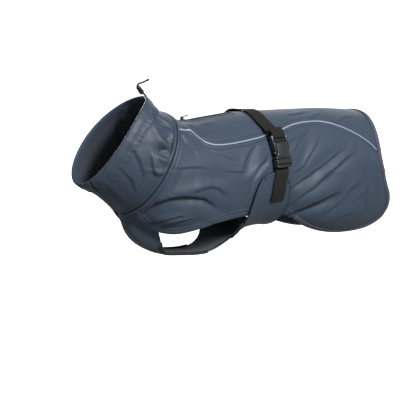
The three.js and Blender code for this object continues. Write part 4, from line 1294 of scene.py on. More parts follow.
@dataclass(frozen=True)
class BackPanel:
    """The centre back between the princess seams, with the lead opening along the spine."""

    def _half(self, sign: int) -> Callable:
        seam = Trace(PRINCESS_SEAM)
        lip = SLIT_HALF / 1.55

        def place(s, t) -> tuple[np.ndarray, np.ndarray]:
            x, edge = seam.at(s)
            start = sign * (edge - 0.15)
            v = start + (SLIT_V + sign * lip - start) * np.asarray(t)
            rear = (tail_hem_x(v * 76 / edge) - 313) * smooth((np.asarray(s) - 0.6) / 0.4)
            return x + rear, v

        return place

    def build(self) -> None:
        """Makes the panel and its stitching."""
        halves = []
        s = None
        for sign in (-1, 1):
            where = self._half(sign)

            def place(a, b, where=where) -> np.ndarray:
                return on_flat(*where(a, b), WALL)

            if s is None:
                s = stations_along(place, SEAM_ROWS, 220)
            t, from_seam, from_lip = spread(place, s, SEAM_ROWS, LIP_ROWS, 26)
            x, v = where(np.broadcast_to(s[:, None], t.shape), t)
            halves.append((x, v, from_seam, from_lip))
        x, v, from_seam, from_lip = (np.hstack([a, b[:, ::-1]]) for a, b in zip(*halves))
        from_front = arc(on_flat(x, v, WALL), 0)
        opened = smooth((x - SLIT_FROM + 6) / 5) * smooth((SLIT_TO + 6 - x) / 5)
        out = WALL + seam_profile(from_seam) + seam_profile(from_front)
        raised = np.where(v < SLIT_V, 1.3, 0.4) * bump(from_lip, 3.2)
        out = out + opened * (lip_profile(from_lip) + raised)
        middle = halves[0][0].shape[1] - 1
        drop = np.zeros((x.shape[0] - 1, x.shape[1] - 1), bool)
        drop[:, middle] = (x[:-1, middle] > SLIT_FROM) & (x[1:, middle] < SLIT_TO)
        panel = ClothPanel(
            "back_cloth",
            ("back_panel",),
            "coat_cloth",
            COAT_CLOTH,
            (0.225, 0.445),
            0.052,
            ("collar_cloth",),
            on_coat,
            x,
            v,
            out,
            drop=drop,
        )
        panel.build()
        STITCHES.add("stitching_coat", panel.contour(from_front, 6.6, 0))
        count = middle + 1
        for first, last in ((0, count), (count, x.shape[1])):
            part = slice(first, last)
            cut = ClothPanel(**(panel.__dict__ | {"x": x[:, part], "v": v[:, part], "out": out[:, part]}))
            below = cut.contour(from_seam[:, part], 6.6, 1)
            STITCHES.add("stitching_coat", Line(below.points[4:-3], below.normals[4:-3]))
            lips = cut.contour(from_lip[:, part], 4.6, 1)
            keep = (x[:, middle] > SLIT_FROM - 4) & (x[:, middle] < SLIT_TO + 4)
            STITCHES.add("stitching_coat", Line(lips.points[keep], lips.normals[keep]), 2.8)


@dataclass(frozen=True)
class Collar:
    """The stand-up collar: its wrap, the folded channel round the neck edge and the lining."""

    def _place(self, u, t) -> np.ndarray:
        return on_flat(*collar_map(u, t), WALL)

    def build(self) -> None:
        """Makes the three cloths and their stitching."""
        u = np.concatenate([[0, 0.002, 0.005, 0.009], np.linspace(0.014, 0.986, 260), [0.991, 0.995, 0.998, 1]])
        t, from_seam, from_rim = spread(self._place, u, SEAM_ROWS, (0, 1, 2), 48)
        grid_u = np.broadcast_to(u[:, None], t.shape)
        x, v = collar_map(grid_u, t)
        round_it = arc(self._place(grid_u, t), 0)
        from_throat = np.minimum(round_it, round_it[-1:] - round_it)
        closed = seam_profile(from_throat)
        collar = ClothPanel(
            "collar_cloth",
            ("collar",),
            "coat_cloth",
            SHADED_COLLAR_CLOTH,
            (0.085, 0.43),
            0.031,
            ("back_cloth",),
            on_coat,
            x,
            v,
            WALL + seam_profile(from_seam) + closed,
        )
        collar.build()
        STITCHES.add("stitching_coat", collar.contour(from_seam, 6.6, 1))
        # A dark tube sunk in the collar seam: painted shade in the seam's groove.
        ring = on_coat(x[:, 0] + 0.2, v[:, 0], WALL - 0.55)
        seam = Solid().tube(ring[3:-3], 0.6, 6).finish("collar_seam_line", OWN_FRAME, PAINTED_SHADOW_LINE)
        declare(seam)
        self._channel(u, closed[:, -1])
        reach = np.linspace(0.0, 0.985, 30)[None, :]
        x, v = collar_map(grid_u[:, :1], reach)
        lining = ClothPanel(
            "collar_black_lining",
            ("collar_lining",),
            "black_lining",
            BLACK_LINING,
            (0.085, 0.42),
            0.0295,
            ("collar_cloth",),
            on_coat,
            x,
            v,
            np.full(x.shape, -0.4),
            wall=0.8,
        )
        lining.build()

    def _channel(self, u: np.ndarray, closed: np.ndarray) -> None:
        section = [(25.2, 1.55), (24.9, 2.3), (24.2, 2.9)]
        section += [(d, CHANNEL_TOP) for d in (23.2, 22.6, 22, 21.4, 20.6)]
        section += [(float(d), CHANNEL_TOP) for d in np.linspace(19.4, 2.4, 14)]
        section += [(1.3, 2.9), (0.5, 2.6), (-0.3, 2.0), (-0.8, 1.1), (-1.0, 0.1)]
        section += [(-0.8, -0.9), (-0.1, -1.5), (1.2, -1.8), (4, -1.9), (8, -1.9), (9.6, -1.8), (10.2, -1.5)]
        down = np.array([d for d, _ in section])
        height = np.array([h for _, h in section])
        length = arc(self._place(*np.meshgrid(u, np.linspace(0, 1, 40), indexing="ij")), 1)[:, -1:]
        t = 1 - down / length
        grid_u = np.broadcast_to(u[:, None], t.shape)
        x, v = collar_map(grid_u, t, 0.9)
        round_it = arc(on_flat(x, v, WALL), 0)
        gather = 0.3 * np.sin(round_it / 1.45 + 1.5 * np.sin(round_it / 17)) * bump(down - 20.5, 4.5)
        gather += 0.25 * np.sin(round_it / 3.1 + np.sin(round_it / 23)) * bump(down - 11, 7)
        cord = 0.5 * bump(down - 9, 4)
        outer = (height > 2.5) * smooth((down - 0.5) / 3)
        out = height + outer * (gather + cord - 0.3 * bump(down - 22, 0.6)) + closed[:, None] * 0.6 * (height > 0)
        band = ClothPanel(
            "channel_band",
            ("collar_channel",),
            "coat_cloth",
            SHADED_COLLAR_CLOTH,
            (0.038, 0.40),
            0.0145,
            ("collar_cloth",),
            on_coat,
            x,
            v,
            out,
            wall=0.7,
        )
        band.build()
        outside = slice(0, 20)
        part = ClothPanel(**(band.__dict__ | {"x": x[:, outside], "v": v[:, outside], "out": out[:, outside]}))
        far = np.broadcast_to(down[None, outside], part.x.shape)
        STITCHES.add("stitching_coat", part.contour(far, 22.0, 1))


@dataclass(frozen=True)
class BellyPanel:
    """The bib between the forelegs, widening to a flap that laps over each side."""

    FRONT = (0.0, 0.004, 0.009, 0.016)

    def build(self) -> None:
        """Makes the panel, its lining, its edge bindings and stitching."""
        s = np.concatenate([self.FRONT, np.linspace(0.024, 0.976, 150), [0.984, 0.991, 0.996, 1.0]])

        def place(a, b) -> np.ndarray:
            x, v = belly_map(a, b)
            return surface(sling_point, x, v, belly_level(x), 0.0, 0.0)

        t, from_middle, from_edge = spread(place, s, (0, 3), HEM_ROWS, 30)
        t = np.hstack([-t[:, :0:-1], t])
        from_edge = np.hstack([from_edge[:, :0:-1], from_edge])
        grid_s = np.broadcast_to(s[:, None], t.shape)
        x, v = belly_map(grid_s, t)
        along = arc(place(grid_s, t), 0)
        from_rear = along[-1:] - along
        hem = flap_profile(from_edge) + flap_profile(from_rear) * (from_edge > 0)
        pucker = 0.4 * np.sin(along / 0.9 + np.sin(along / 7)) * bump(from_edge - 5.5, 3.5)
        out = WALL + hem + seam_profile(along) * 0.5 + pucker
        panel = ClothPanel(
            "belly_cloth",
            ("belly_panel",),
            "coat_cloth",
            COAT_CLOTH,
            (0.34, 0.27),
            0.036,
            ("side_cloth_left", "side_cloth_right"),
            on_belly,
            x,
            v,
            out,
            wall=1.3,
        )
        panel.build()
        self._stitch(panel, from_edge, s)
        self._lining(x, v, s, t)
        for side in (1, -1):
            self._binding(side)

    def _stitch(self, panel: ClothPanel, from_edge: np.ndarray, s: np.ndarray) -> None:
        middle = panel.x.shape[1] // 2
        for part in (slice(0, middle + 1), slice(middle, None)):
            grids = {"x": panel.x[:, part], "v": panel.v[:, part], "out": panel.out[:, part]}
            cut = ClothPanel(**(panel.__dict__ | grids))
            edge = cut.contour(from_edge[:, part], 5.5, 1)
            keep = (s > 0.44) & (s < 0.985)
            STITCHES.add("stitching_coat", Line(edge.points[keep], edge.normals[keep]))
            word = "left" if panel.v[0, part].mean() > 0 else "right"
            # A dark tube round the flap's edge: a painted shadow line where the flap lies on the side panel.
            rim = cut.contour(from_edge[:, part], 0.3, 1).points[(s > 0.42) & (s < 0.992)]
            flap_shadow = Solid().tube(rim, 0.85, 8).finish("flap_edge_" + word, OWN_FRAME, PAINTED_SHADOW_LINE)
            declare(flap_shadow)

    def _lining(self, x: np.ndarray, v: np.ndarray, s: np.ndarray, t: np.ndarray) -> None:
        clear = (x > -74) & (x < 66) & (np.abs(v) > 122 + 0.28 * np.maximum(x, 40))
        bound = (s[:, None] < 0.36) & (np.abs(t) > 0.8)
        kept = clear & ~bound
        cells = kept[:-1, :-1] & kept[1:, :-1] & kept[:-1, 1:] & kept[1:, 1:]
        lining = ClothPanel(
            "belly_black_lining",
            ("belly_lining",),
            "black_lining",
            BLACK_LINING,
            (0.17, 0.14),
            0.0112,
            ("belly_cloth",),
            on_belly,
            x,
            v,
            np.full(x.shape, -0.45),
            wall=0.8,
            drop=~cells,
        )
        lining.build()

    def _binding(self, side: int) -> None:
        word = "left" if side > 0 else "right"
        s = np.linspace(5 / 38, 11 / 38, 44)
        x, v = belly_map(s, np.full(s.shape, float(side)))
        loop = [(3.3, 1.9), (3.2, 2.7), (2.6, 3.1), (1.4, 3.3), (0.2, 3.2), (-0.8, 2.5), (-1.3, 1.2)]
        loop += [(-1.2, -0.2), (-0.7, -1.3), (0.4, -1.9), (1.8, -2.1), (2.9, -1.9), (3.3, -1.2)]
        strip = EdgeStrip("bib_edge_" + word, "bib_binding_" + word, "bib_binding", BIB_BINDING, 0.7)
        strip.build(on_belly, x, v, side, loop, (0.018, 0.075))


@dataclass(frozen=True)
class EdgeStrip:
    """A strip of cloth folded round an edge, or lying along a seam."""

    name: str
    node: str
    slot: str
    finish: ClothFinish
    wall: float

    @staticmethod
    def _across(x: np.ndarray, v: np.ndarray, inside: int) -> tuple[np.ndarray, np.ndarray]:
        per_x = np.linalg.norm(form_point(x + 0.5, v) - form_point(x - 0.5, v), axis=-1)
        per_v = np.linalg.norm(form_point(x, v + 0.5) - form_point(x, v - 0.5), axis=-1)
        dx = np.gradient(x) * per_x
        dv = np.gradient(v) * per_v
        length = np.hypot(dx, dv) * inside
        return -dv / length / per_x, dx / length / per_v

    def points(self, place: Callable, x, v, inside: int, loop: Sequence[tuple[float, float]]) -> np.ndarray:
        """The strip's grid of points: stations along the edge by places round its section."""
        ax, av = self._across(x, v, inside)
        d = np.array([a for a, _ in loop])[None, :]
        h = np.array([b for _, b in loop])[None, :]
        return place(x[:, None] + ax[:, None] * d, v[:, None] + av[:, None] * d, h + 0 * x[:, None])

    def build(
        self,
        place: Callable,
        x: np.ndarray,
        v: np.ndarray,
        inside: int,
        loop: Sequence[tuple[float, float]],
        flat: tuple[float, float] | None,
    ) -> bpy.types.Object:
        """Makes the strip.

        Args:
            place: Points over the form for x, v and height.
            x: Stations of the edge along the form.
            v: Their degrees round it.
            inside: 1 or -1, the side of the edge that the cloth lies on.
            loop: Section as distance into the cloth and height over the form.
            flat: Its cut, in metres, or None where it is a cord and not a sheet; not used.

        Returns:
            The object.
        """
        points = self.points(place, x, v, inside, loop)
        a, b = points.shape[0] // 2, points.shape[1] // 2
        middle = points[a].mean(axis=0)
        outward = points[a, b] - middle
        obj = cloth_grid(self.name, points, self.finish, self.wall, outward)
        declare(obj, replaced=(self.node,))
        return obj


@dataclass(frozen=True)
class RearBinding:
    """The grey binding round the rear hem, from under one flank over the tail to the other."""

    def build(self) -> None:
        """Makes the binding and the line of stitches that holds it."""
        low_s = np.linspace(0, 1, 400)
        low = side_map(1, low_s, np.ones(400))
        reach = low[0] > 146
        low = (low[0][reach], low[1][reach])
        turn = np.linspace(1, 0, 60)[1:]
        corner = side_map(1, np.ones(59), turn)
        over_v = np.linspace(75.7, -75.7, 110)[1:-1]
        over = (tail_hem_x(over_v), over_v)
        half_x = np.concatenate([low[0], corner[0]])
        half_v = np.concatenate([low[1], corner[1]])
        x = np.concatenate([half_x, over[0], half_x[::-1]])
        v = np.concatenate([half_v, over[1], -half_v[::-1]])
        length = arc(on_flat(x, v, WALL)[:, None], 0)[:, 0]
        even = np.linspace(0, length[-1], 330)
        x = np.interp(even, length, x)
        v = np.interp(even, length, v)
        kernel = np.array([1, 2, 3, 2, 1]) / 9
        x[2:-2] = np.convolve(x, kernel, "valid")
        v[2:-2] = np.convolve(v, kernel, "valid")
        loop = [(7.7, 1.55), (7.5, 2.3), (6.9, 2.75), (6.2, 2.6), (5.6, 2.8), (4, 3.0), (2.4, 3.1), (1, 3.05)]
        loop += [(-0.2, 2.75), (-1.0, 2.0), (-1.3, 0.9), (-1.1, -0.3), (-0.4, -1.2), (1, -1.7), (3, -1.8)]
        loop += [(5.5, -1.75), (7.2, -1.5), (7.6, -0.9)]
        strip = EdgeStrip("rear_edge_binding", "rear_binding", "hem_binding", BINDING, 0.75)
        strip.build(on_coat, x, v, -1, loop, (0.032, 0.66))
        line = strip.points(on_coat, x, v, -1, [(6.2, 2.7), (6.2, 3.7)])
        STITCHES.add("stitching_binding", Line(line[3:-3, 0], line[3:-3, 1] - line[3:-3, 0]), 2.9)


@dataclass(frozen=True)
class Piping:
    """Light piping in a princess seam."""

    side: int

    def build(self) -> None:
        """Makes the piping, a filled cord in a folded strip, and a dark tube beside it as a painted shadow line."""
        word = "left" if self.side > 0 else "right"
        s = 0.006 + 0.965 * np.linspace(0, 1, 190)
        x, v = Trace(PRINCESS_SEAM, self.side).at(s)
        loop = [(-0.7, 0.4), (-1.0, 0.9), (-1.1, 1.6), (-1.0, 2.2), (-0.7, 2.6), (-0.25, 2.8), (0.25, 2.8)]
        loop += [(0.7, 2.6), (1.0, 2.2), (1.1, 1.6), (1.0, 0.9), (0.7, 0.4)]
        strip = EdgeStrip("seam_piping_" + word, "piping_" + word, "reflective_piping", REFLECTIVE, 0.5)
        strip.build(on_coat, x, v, self.side, loop, None)
        # A dark tube along the piping's lower side: a painted shadow line below it.
        fold = strip.points(on_coat, x, v, self.side, [(1.5, 0.95)])[:, 0]
        seam = Solid().tube(fold, 0.45, 6).finish("seam_line_" + word, OWN_FRAME, PAINTED_SHADOW_LINE)
        declare(seam)


@dataclass(frozen=True)
class Frame:
    """A right-handed frame in the form: an origin and three unit axes, in millimetres."""

    origin: np.ndarray
    x: np.ndarray
    y: np.ndarray
    z: np.ndarray

    def point(self, x: float, y: float, z: float) -> np.ndarray:
        """A point of the frame in the form's frame."""
        return self.origin + self.x * x + self.y * y + self.z * z

    def matrix(self) -> Matrix:
        """From millimetres in the frame to metres in the part."""
        origin = metres(self.origin)
        rows = [[self.x[k] * MM, self.y[k] * MM, self.z[k] * MM, origin[k]] for k in range(3)]
        return Matrix(rows + [[0, 0, 0, 1]])


OWN_FRAME = Frame(np.zeros(3), *np.eye(3))


def unit(vector: np.ndarray) -> np.ndarray:
    """The vector at length 1."""
    return vector / np.linalg.norm(vector)


def buckle_frame() -> Frame:
    """The buckle's frame: x across the webbing, y down it, z out from the coat."""
    down = unit(on_flat(BUCKLE_X, BUCKLE_V + 2, 0) - on_flat(BUCKLE_X, BUCKLE_V - 2, 0))
    out = unit(on_flat(BUCKLE_X, BUCKLE_V, 1) - on_flat(BUCKLE_X, BUCKLE_V, 0))
    across = unit(np.cross(down, out))
    return Frame(on_flat(BUCKLE_X, BUCKLE_V, BUCKLE_OUT), across, down, out)


def slider_frame() -> Frame:
    """The zip slider's frame: x towards the tail, z out from the back."""
    along = unit(on_flat(SLIDER_X + 2, SLIT_V, 0) - on_flat(SLIDER_X - 2, SLIT_V, 0))
    out = unit(on_flat(SLIDER_X, SLIT_V, 1) - on_flat(SLIDER_X, SLIT_V, 0))
    return Frame(on_flat(SLIDER_X, SLIT_V, WALL + GAP), along, np.cross(out, along), out)


@dataclass(frozen=True)
class Bar:
    """A bar that webbing is sewn round: its place in the buckle's frame and the end it comes from."""

    y: float
    z: float
    size: float
    end: int


TAIL_LEAN = 6.0
TOP_BAR = Bar(-25, 0, 3.2, -1)
LOW_BAR = Bar(13, -2.5, 2.6, 1)


def through(rows: np.ndarray, steps: int) -> np.ndarray:
    """A smooth curve through rows of values.

    Args:
        rows: Values, one row for each knot.
        steps: Rows made for each step between knots.

    Returns:
        The finer rows.
    """
    padded = np.vstack([2 * rows[0] - rows[1], rows, 2 * rows[-1] - rows[-2]])
    found = []
    for k in range(len(rows) - 1):
        p0, p1, p2, p3 = padded[k : k + 4]
        t = np.linspace(0, 1, steps + 1)[:-1, None]
        curve = 2 * p1 + (p2 - p0) * t + (2 * p0 - 5 * p1 + 4 * p2 - p3) * t**2
        found.append((curve + (3 * p1 - p0 - 3 * p2 + p3) * t**3) / 2)
    return np.vstack([*found, rows[-1:]])


@dataclass(frozen=True)
class Webbing:
    """A length of flat webbing through frames of a middle, a side and an inward direction."""

    name: str
    node: str
    frames: tuple[tuple[np.ndarray, np.ndarray, np.ndarray], ...]

    @staticmethod
    def laid(v: float, out: float, x: float, lean: float = 0) -> tuple[np.ndarray, np.ndarray, np.ndarray]:
        """A frame lying on the form, leaning over its length by some degrees."""
        side = unit(on_flat(x - 1, v, 0) - on_flat(x + 1, v, 0))
        up = unit(on_flat(x, v, 1) - on_flat(x, v, 0))
        tilt = math.tan(math.radians(lean))
        return on_flat(x, v, out + STRAP_WALL), unit(side + up * tilt), -unit(up - side * tilt)

    @staticmethod
    def at_bar(y: float, z: float, turn: float, x: float = 0.0) -> tuple[np.ndarray, np.ndarray, np.ndarray]:
        """A frame in the buckle's own frame, its outward side tipped round the bar."""
        frame = buckle_frame()
        a = math.radians(turn)
        return frame.point(x, y, z), frame.x, -frame.y * math.sin(a) + frame.z * math.cos(a)

    @classmethod
    def end(cls, bar: Bar, tail: float, lean: float = 0.0) -> list:
        """From lying on the coat, round a bar and back over itself as a sewn tail."""
        radius = bar.size / 2 + GAP
        loop = []
        for a in (0, 45, 90, 135, 180):
            y = bar.y - bar.end * radius * math.sin(math.radians(a))
            z = bar.z - radius * math.cos(math.radians(a))
            loop.append(cls.at_bar(y, z, 180 - bar.end * a))
        flat = [cls.at_bar(bar.y + bar.end * tail * k, bar.z + radius, 0, lean * k) for k in (0.3, 0.65, 1.0)]
        return loop + flat

    def build(self) -> bpy.types.Object:
        """Makes the webbing with rounded selvedges."""
        knots = np.array([np.concatenate(f) for f in self.frames])
        rows = through(knots, 8)
        p, side, up = rows[:, :3], rows[:, 3:6], rows[:, 6:]
        side /= np.linalg.norm(side, axis=1, keepdims=True)
        up /= np.linalg.norm(up, axis=1, keepdims=True)
        w = STRAP_WIDTH / 2
        rim = [(0.0, w - 0.6), (0.2, w - 0.2), (0.5, w), (1.1, w), (1.4, w - 0.2), (1.6, w - 0.6)]
        front = [(0.0, c) for c in np.linspace(-w + 1.4, w - 1.4, 9)]
        back = [(STRAP_WALL, c) for c in np.linspace(w - 1.4, -w + 1.4, 9)]
        other = [(h, -c) for h, c in rim[::-1]]
        section = [*back[4:], *other, *front, *rim, *back[:5]]
        deep = np.array([h for h, _ in section])[None, :, None]
        wide = np.array([c for _, c in section])[None, :, None]
        points = p[:, None] + side[:, None] * wide + up[:, None] * deep
        outward = points[len(points) // 2, points.shape[1] // 2] - points[len(points) // 2].mean(axis=0)
        obj = cloth_grid(self.name, points, WEBBING, 0.75, outward)
        declare(obj, replaced=(self.node,))
        return obj


def box_stitch(bar: Bar, first: float, last: float, half: float = 9.5) -> None:
    """The sewn rectangle and cross that close a webbing tail, between two distances from its bar."""
    frame = buckle_frame()
    z = bar.z + bar.size / 2 + GAP + STRAP_WALL + 0.05
    corners = [(-half, first), (half, first), (half, last), (-half, last)]
    paths = [(corners[k], corners[(k + 1) % 4]) for k in range(4)]
    paths += [(corners[0], corners[2]), (corners[1], corners[3])]
    for (x0, d0), (x1, d1) in paths:
        at = np.linspace(0, 1, 12)
        points = [frame.point(x0 + (x1 - x0) * k, bar.y + bar.end * (d0 + (d1 - d0) * k), z) for k in at]
        line = Line(np.array(points), np.repeat(frame.z[None], len(at), 0))
        STITCHES.add("stitching_webbing", line, 2.9)


def straps() -> None:
    """Makes both lengths of webbing and their stitches."""
    over = [Webbing.laid(v, out, x, lean) for v, x, out, lean in STRAP_PATH]
    Webbing("webbing_upper", "strap_upper", tuple([*over, *Webbing.end(TOP_BAR, 14, TAIL_LEAN)])).build()
    lying = [Webbing.laid(v, FLAP_TOP, STRAP_LOW_X) for v in (115, 109, 103, 97)]
    rise = [Webbing.laid(91, FLAP_TOP, STRAP_LOW_X + 2), Webbing.laid(86.5, FLAP_TOP + 0.2, STRAP_LOW_X + 4)]
    Webbing("webbing_lower", "strap_lower", tuple([*lying, *rise, *Webbing.end(LOW_BAR, 7)])).build()
    box_stitch(TOP_BAR, 3.5, 12.5)
    for v in (112.5, 104.0):
        for x in np.linspace(-9, 9, 2):
            line = line_on(on_flat, np.full(9, STRAP_LOW_X + x), np.linspace(v - 0.2, v - 7, 9), FLAP_TOP + 1.7)
            STITCHES.add("stitching_webbing", line, 2.9)
        line = line_on(on_flat, np.linspace(-9, 9, 9) + STRAP_LOW_X, np.full(9, v), FLAP_TOP + 1.7)
        STITCHES.add("stitching_webbing", line, 2.9)


class Solid:
    """Small moulded parts, built in millimetres in a frame of their own."""

    def __init__(self) -> None:
        self.bm = bmesh.new()

    def block(self, x: tuple, y: tuple, z: tuple, bevel: float, segments: int = 2) -> "Solid":
        """A box with rounded edges, between pairs of places on each axis."""
        made = bmesh.ops.create_cube(self.bm, size=1.0)["verts"]
        size = [b - a for a, b in (x, y, z)]
        middle = [(a + b) / 2 for a, b in (x, y, z)]
        bmesh.ops.scale(self.bm, verts=made, vec=size)
        bmesh.ops.translate(self.bm, verts=made, vec=middle)
        edges = list({e for v in made for e in v.link_edges})
        bmesh.ops.bevel(
            self.bm, geom=edges, offset=bevel, segments=segments, profile=0.5, affect="EDGES", material=-1
        )
        return self

    def plate(self, outline: Sequence[tuple[float, float]], z: tuple, bevel: float, segments: int = 3) -> "Solid":
        """An outline made thick, its upper and lower edges rounded."""
        verts = [self.bm.verts.new((a, b, z[0])) for a, b in outline]
        face = self.bm.faces.new(verts)
        made = bmesh.ops.extrude_face_region(self.bm, geom=[face])["geom"]
        top = [g for g in made if isinstance(g, bmesh.types.BMVert)]
        bmesh.ops.translate(self.bm, verts=top, vec=(0, 0, z[1] - z[0]))
        level = set(verts) | set(top)
        edges = []
        for edge in {e for v in level for e in v.link_edges}:
            if abs(edge.verts[0].co.z - edge.verts[1].co.z) < 1e-6:
                edges.append(edge)
        bmesh.ops.bevel(
            self.bm, geom=edges, offset=bevel, segments=segments, profile=0.5, affect="EDGES", material=-1
        )
        return self

    def rod(self, x: tuple, y: float, z: float, radius: float) -> "Solid":
        """A round bar along x with softened ends."""
        turned = Matrix.Rotation(math.pi / 2, 4, "Y")
        place = Matrix.Translation(((x[0] + x[1]) / 2, y, z)) @ turned
        made = bmesh.ops.create_cone(
            self.bm, cap_ends=True, segments=20, radius1=radius, radius2=radius, depth=x[1] - x[0], matrix=place
        )["verts"]
        rims = {e for v in made for e in v.link_edges if abs(e.verts[0].co.x - e.verts[1].co.x) < 1e-6}
        bmesh.ops.bevel(
            self.bm, geom=list(rims), offset=radius * 0.25, segments=2, profile=0.5, affect="EDGES", material=-1
        )
        return self

    def ring(self, section: Sequence[tuple[float, float]], axis: tuple, start: tuple, steps: int = 32) -> "Solid":
        """A section spun once round an axis.

        Args:
            section: Closed outline as distance from the axis and height along it.
            axis: Unit direction of the axis through start.
            start: A point of the axis.
            steps: Steps round it.
        """
        z = Vector(axis)
        x = z.orthogonal().normalized()
        verts = [self.bm.verts.new(Vector(start) + x * r + z * h) for r, h in section]
        edges = [self.bm.edges.new((verts[k], verts[(k + 1) % len(verts)])) for k in range(len(verts))]
        bmesh.ops.spin(
            self.bm, geom=verts + edges, cent=start, axis=axis, angle=math.tau, steps=steps, use_duplicate=False
        )
        bmesh.ops.remove_doubles(self.bm, verts=self.bm.verts, dist=1e-4)
        return self

    def tube(self, path: np.ndarray, radius: float, sides: int = 10, closed: bool = False) -> "Solid":
        """A round wire along a path that stays near one plane."""
        count = len(path)
        rings = []
        normal = None
        for k in range(count):
            ahead = path[(k + 1) % count] if closed or k + 1 < count else path[k]
            behind = path[k - 1] if closed or k else path[k]
            tangent = Vector(ahead - behind).normalized()
            if normal is None:
                normal = tangent.orthogonal()
            normal = (normal - tangent * normal.dot(tangent)).normalized()
            other = tangent.cross(normal)
            ring = []
            for a in np.linspace(0, math.tau, sides, endpoint=False):
                offset = normal * math.cos(a) * radius + other * math.sin(a) * radius
                ring.append(self.bm.verts.new(Vector(path[k]) + offset))
            rings.append(ring)
        pairs = list(zip(rings, rings[1:] + rings[:1])) if closed else list(zip(rings, rings[1:]))
        for a, b in pairs:
            for j in range(sides):
                n = (j + 1) % sides
                self.bm.faces.new((a[j], a[n], b[n], b[j]))
        if not closed:
            self.bm.faces.new(rings[0][::-1])
            self.bm.faces.new(rings[-1])
        return self

    def finish(self, name: str, frame: Frame, finish: MouldedFinish) -> bpy.types.Object:
        """Places the part in the coat."""
        bmesh.ops.transform(self.bm, matrix=frame.matrix(), verts=self.bm.verts)
        bmesh.ops.recalc_face_normals(self.bm, faces=self.bm.faces)
        obj = object_from(name, self.bm, finish)
        obj.data.set_sharp_from_angle(angle=math.radians(38))
        return obj


def corner(cx: float, cy: float, radius: float, start: float, stop: float, steps: int = 5) -> list:
    """Points of an arc between two angles in degrees."""
    turn = np.radians(np.linspace(start, stop, steps + 1))
    return [(cx + radius * math.cos(a), cy + radius * math.sin(a)) for a in turn]


def rounded(half: float, y0: float, y1: float, radius: float) -> list:
    """The outline of a rectangle with rounded corners."""
    r = radius
    points = corner(half - r, y0 + r, r, -90, 0) + corner(half - r, y1 - r, r, 0, 90)
    return points + corner(-half + r, y1 - r, r, 90, 180) + corner(-half + r, y0 + r, r, 180, 270)


class Buckle:
    """The side-release buckle, fastened."""

    def __init__(self) -> None:
        self.frame = buckle_frame()

    def build(self) -> None:
        """Makes both halves."""
        half = BUCKLE_WIDTH / 2
        right = corner(half - 3, -14, 3, -90, 0) + [(half, -6.2)]
        right += corner(half + 1.4, 0.1, 5.4, 238, 122, 10) + [(half, 6.4)] + corner(half - 2, 7, 2, 0, 90)
        outline = right + [(-a, b) for a, b in right[::-1]]
        body = Solid().plate(outline, (-4.5, 4.5), 1.5, 4)
        body.plate(rounded(9.5, -14.6, 6.6, 3.0), (4.3, 4.95), 0.35, 2)
        for side in (-1, 1):
            body.block((side * 13.9 - 1.4, side * 13.9 + 1.4), (-27, -14), (-3, 3), 0.8)
        body.rod((-14, 14), TOP_BAR.y, TOP_BAR.z, TOP_BAR.size / 2)
        body.plate(rounded(14, -20.9, -17.9, 1.4), (-2.2, 3.9), 1.2, 3)
        socket = body.finish("buckle_socket_moulded", self.frame, BUCKLE_PLASTIC)
        declare(socket, replaced=("buckle_socket",))
        part = Solid().plate(rounded(half - 0.25, 9.4, 16.6, 1.8), (1.1, 4.8), 1.3, 4)
        part.plate(rounded(half - 0.5, 18, 22, 1.9), (1.0, 4.2), 1.0, 3)
        for side in (-1, 1):
            part.block((side * 14.2 - 0.8, side * 14.2 + 0.8), (9.6, 21), (-4.2, 3.4), 0.4)
            part.block((side * 10 - 1.4, side * 10 + 1.4), (-8, 9.5), (-2.3, 2.3), 0.4)
            head = corner(11.6, -0.8, 3.3, -75, 75, 8)
            head = [(10.8, -4.4), *head, (10.8, 3.0)]
            part.plate([(side * a, b) for a, b in (head if side > 0 else head[::-1])], (-2.3, 2.3), 0.6, 2)
        part.rod((-14, 14), LOW_BAR.y, LOW_BAR.z, LOW_BAR.size / 2)
        plug = part.finish("buckle_plug_moulded", self.frame, BUCKLE_PLASTIC)
        declare(plug, replaced=("buckle_plug",))


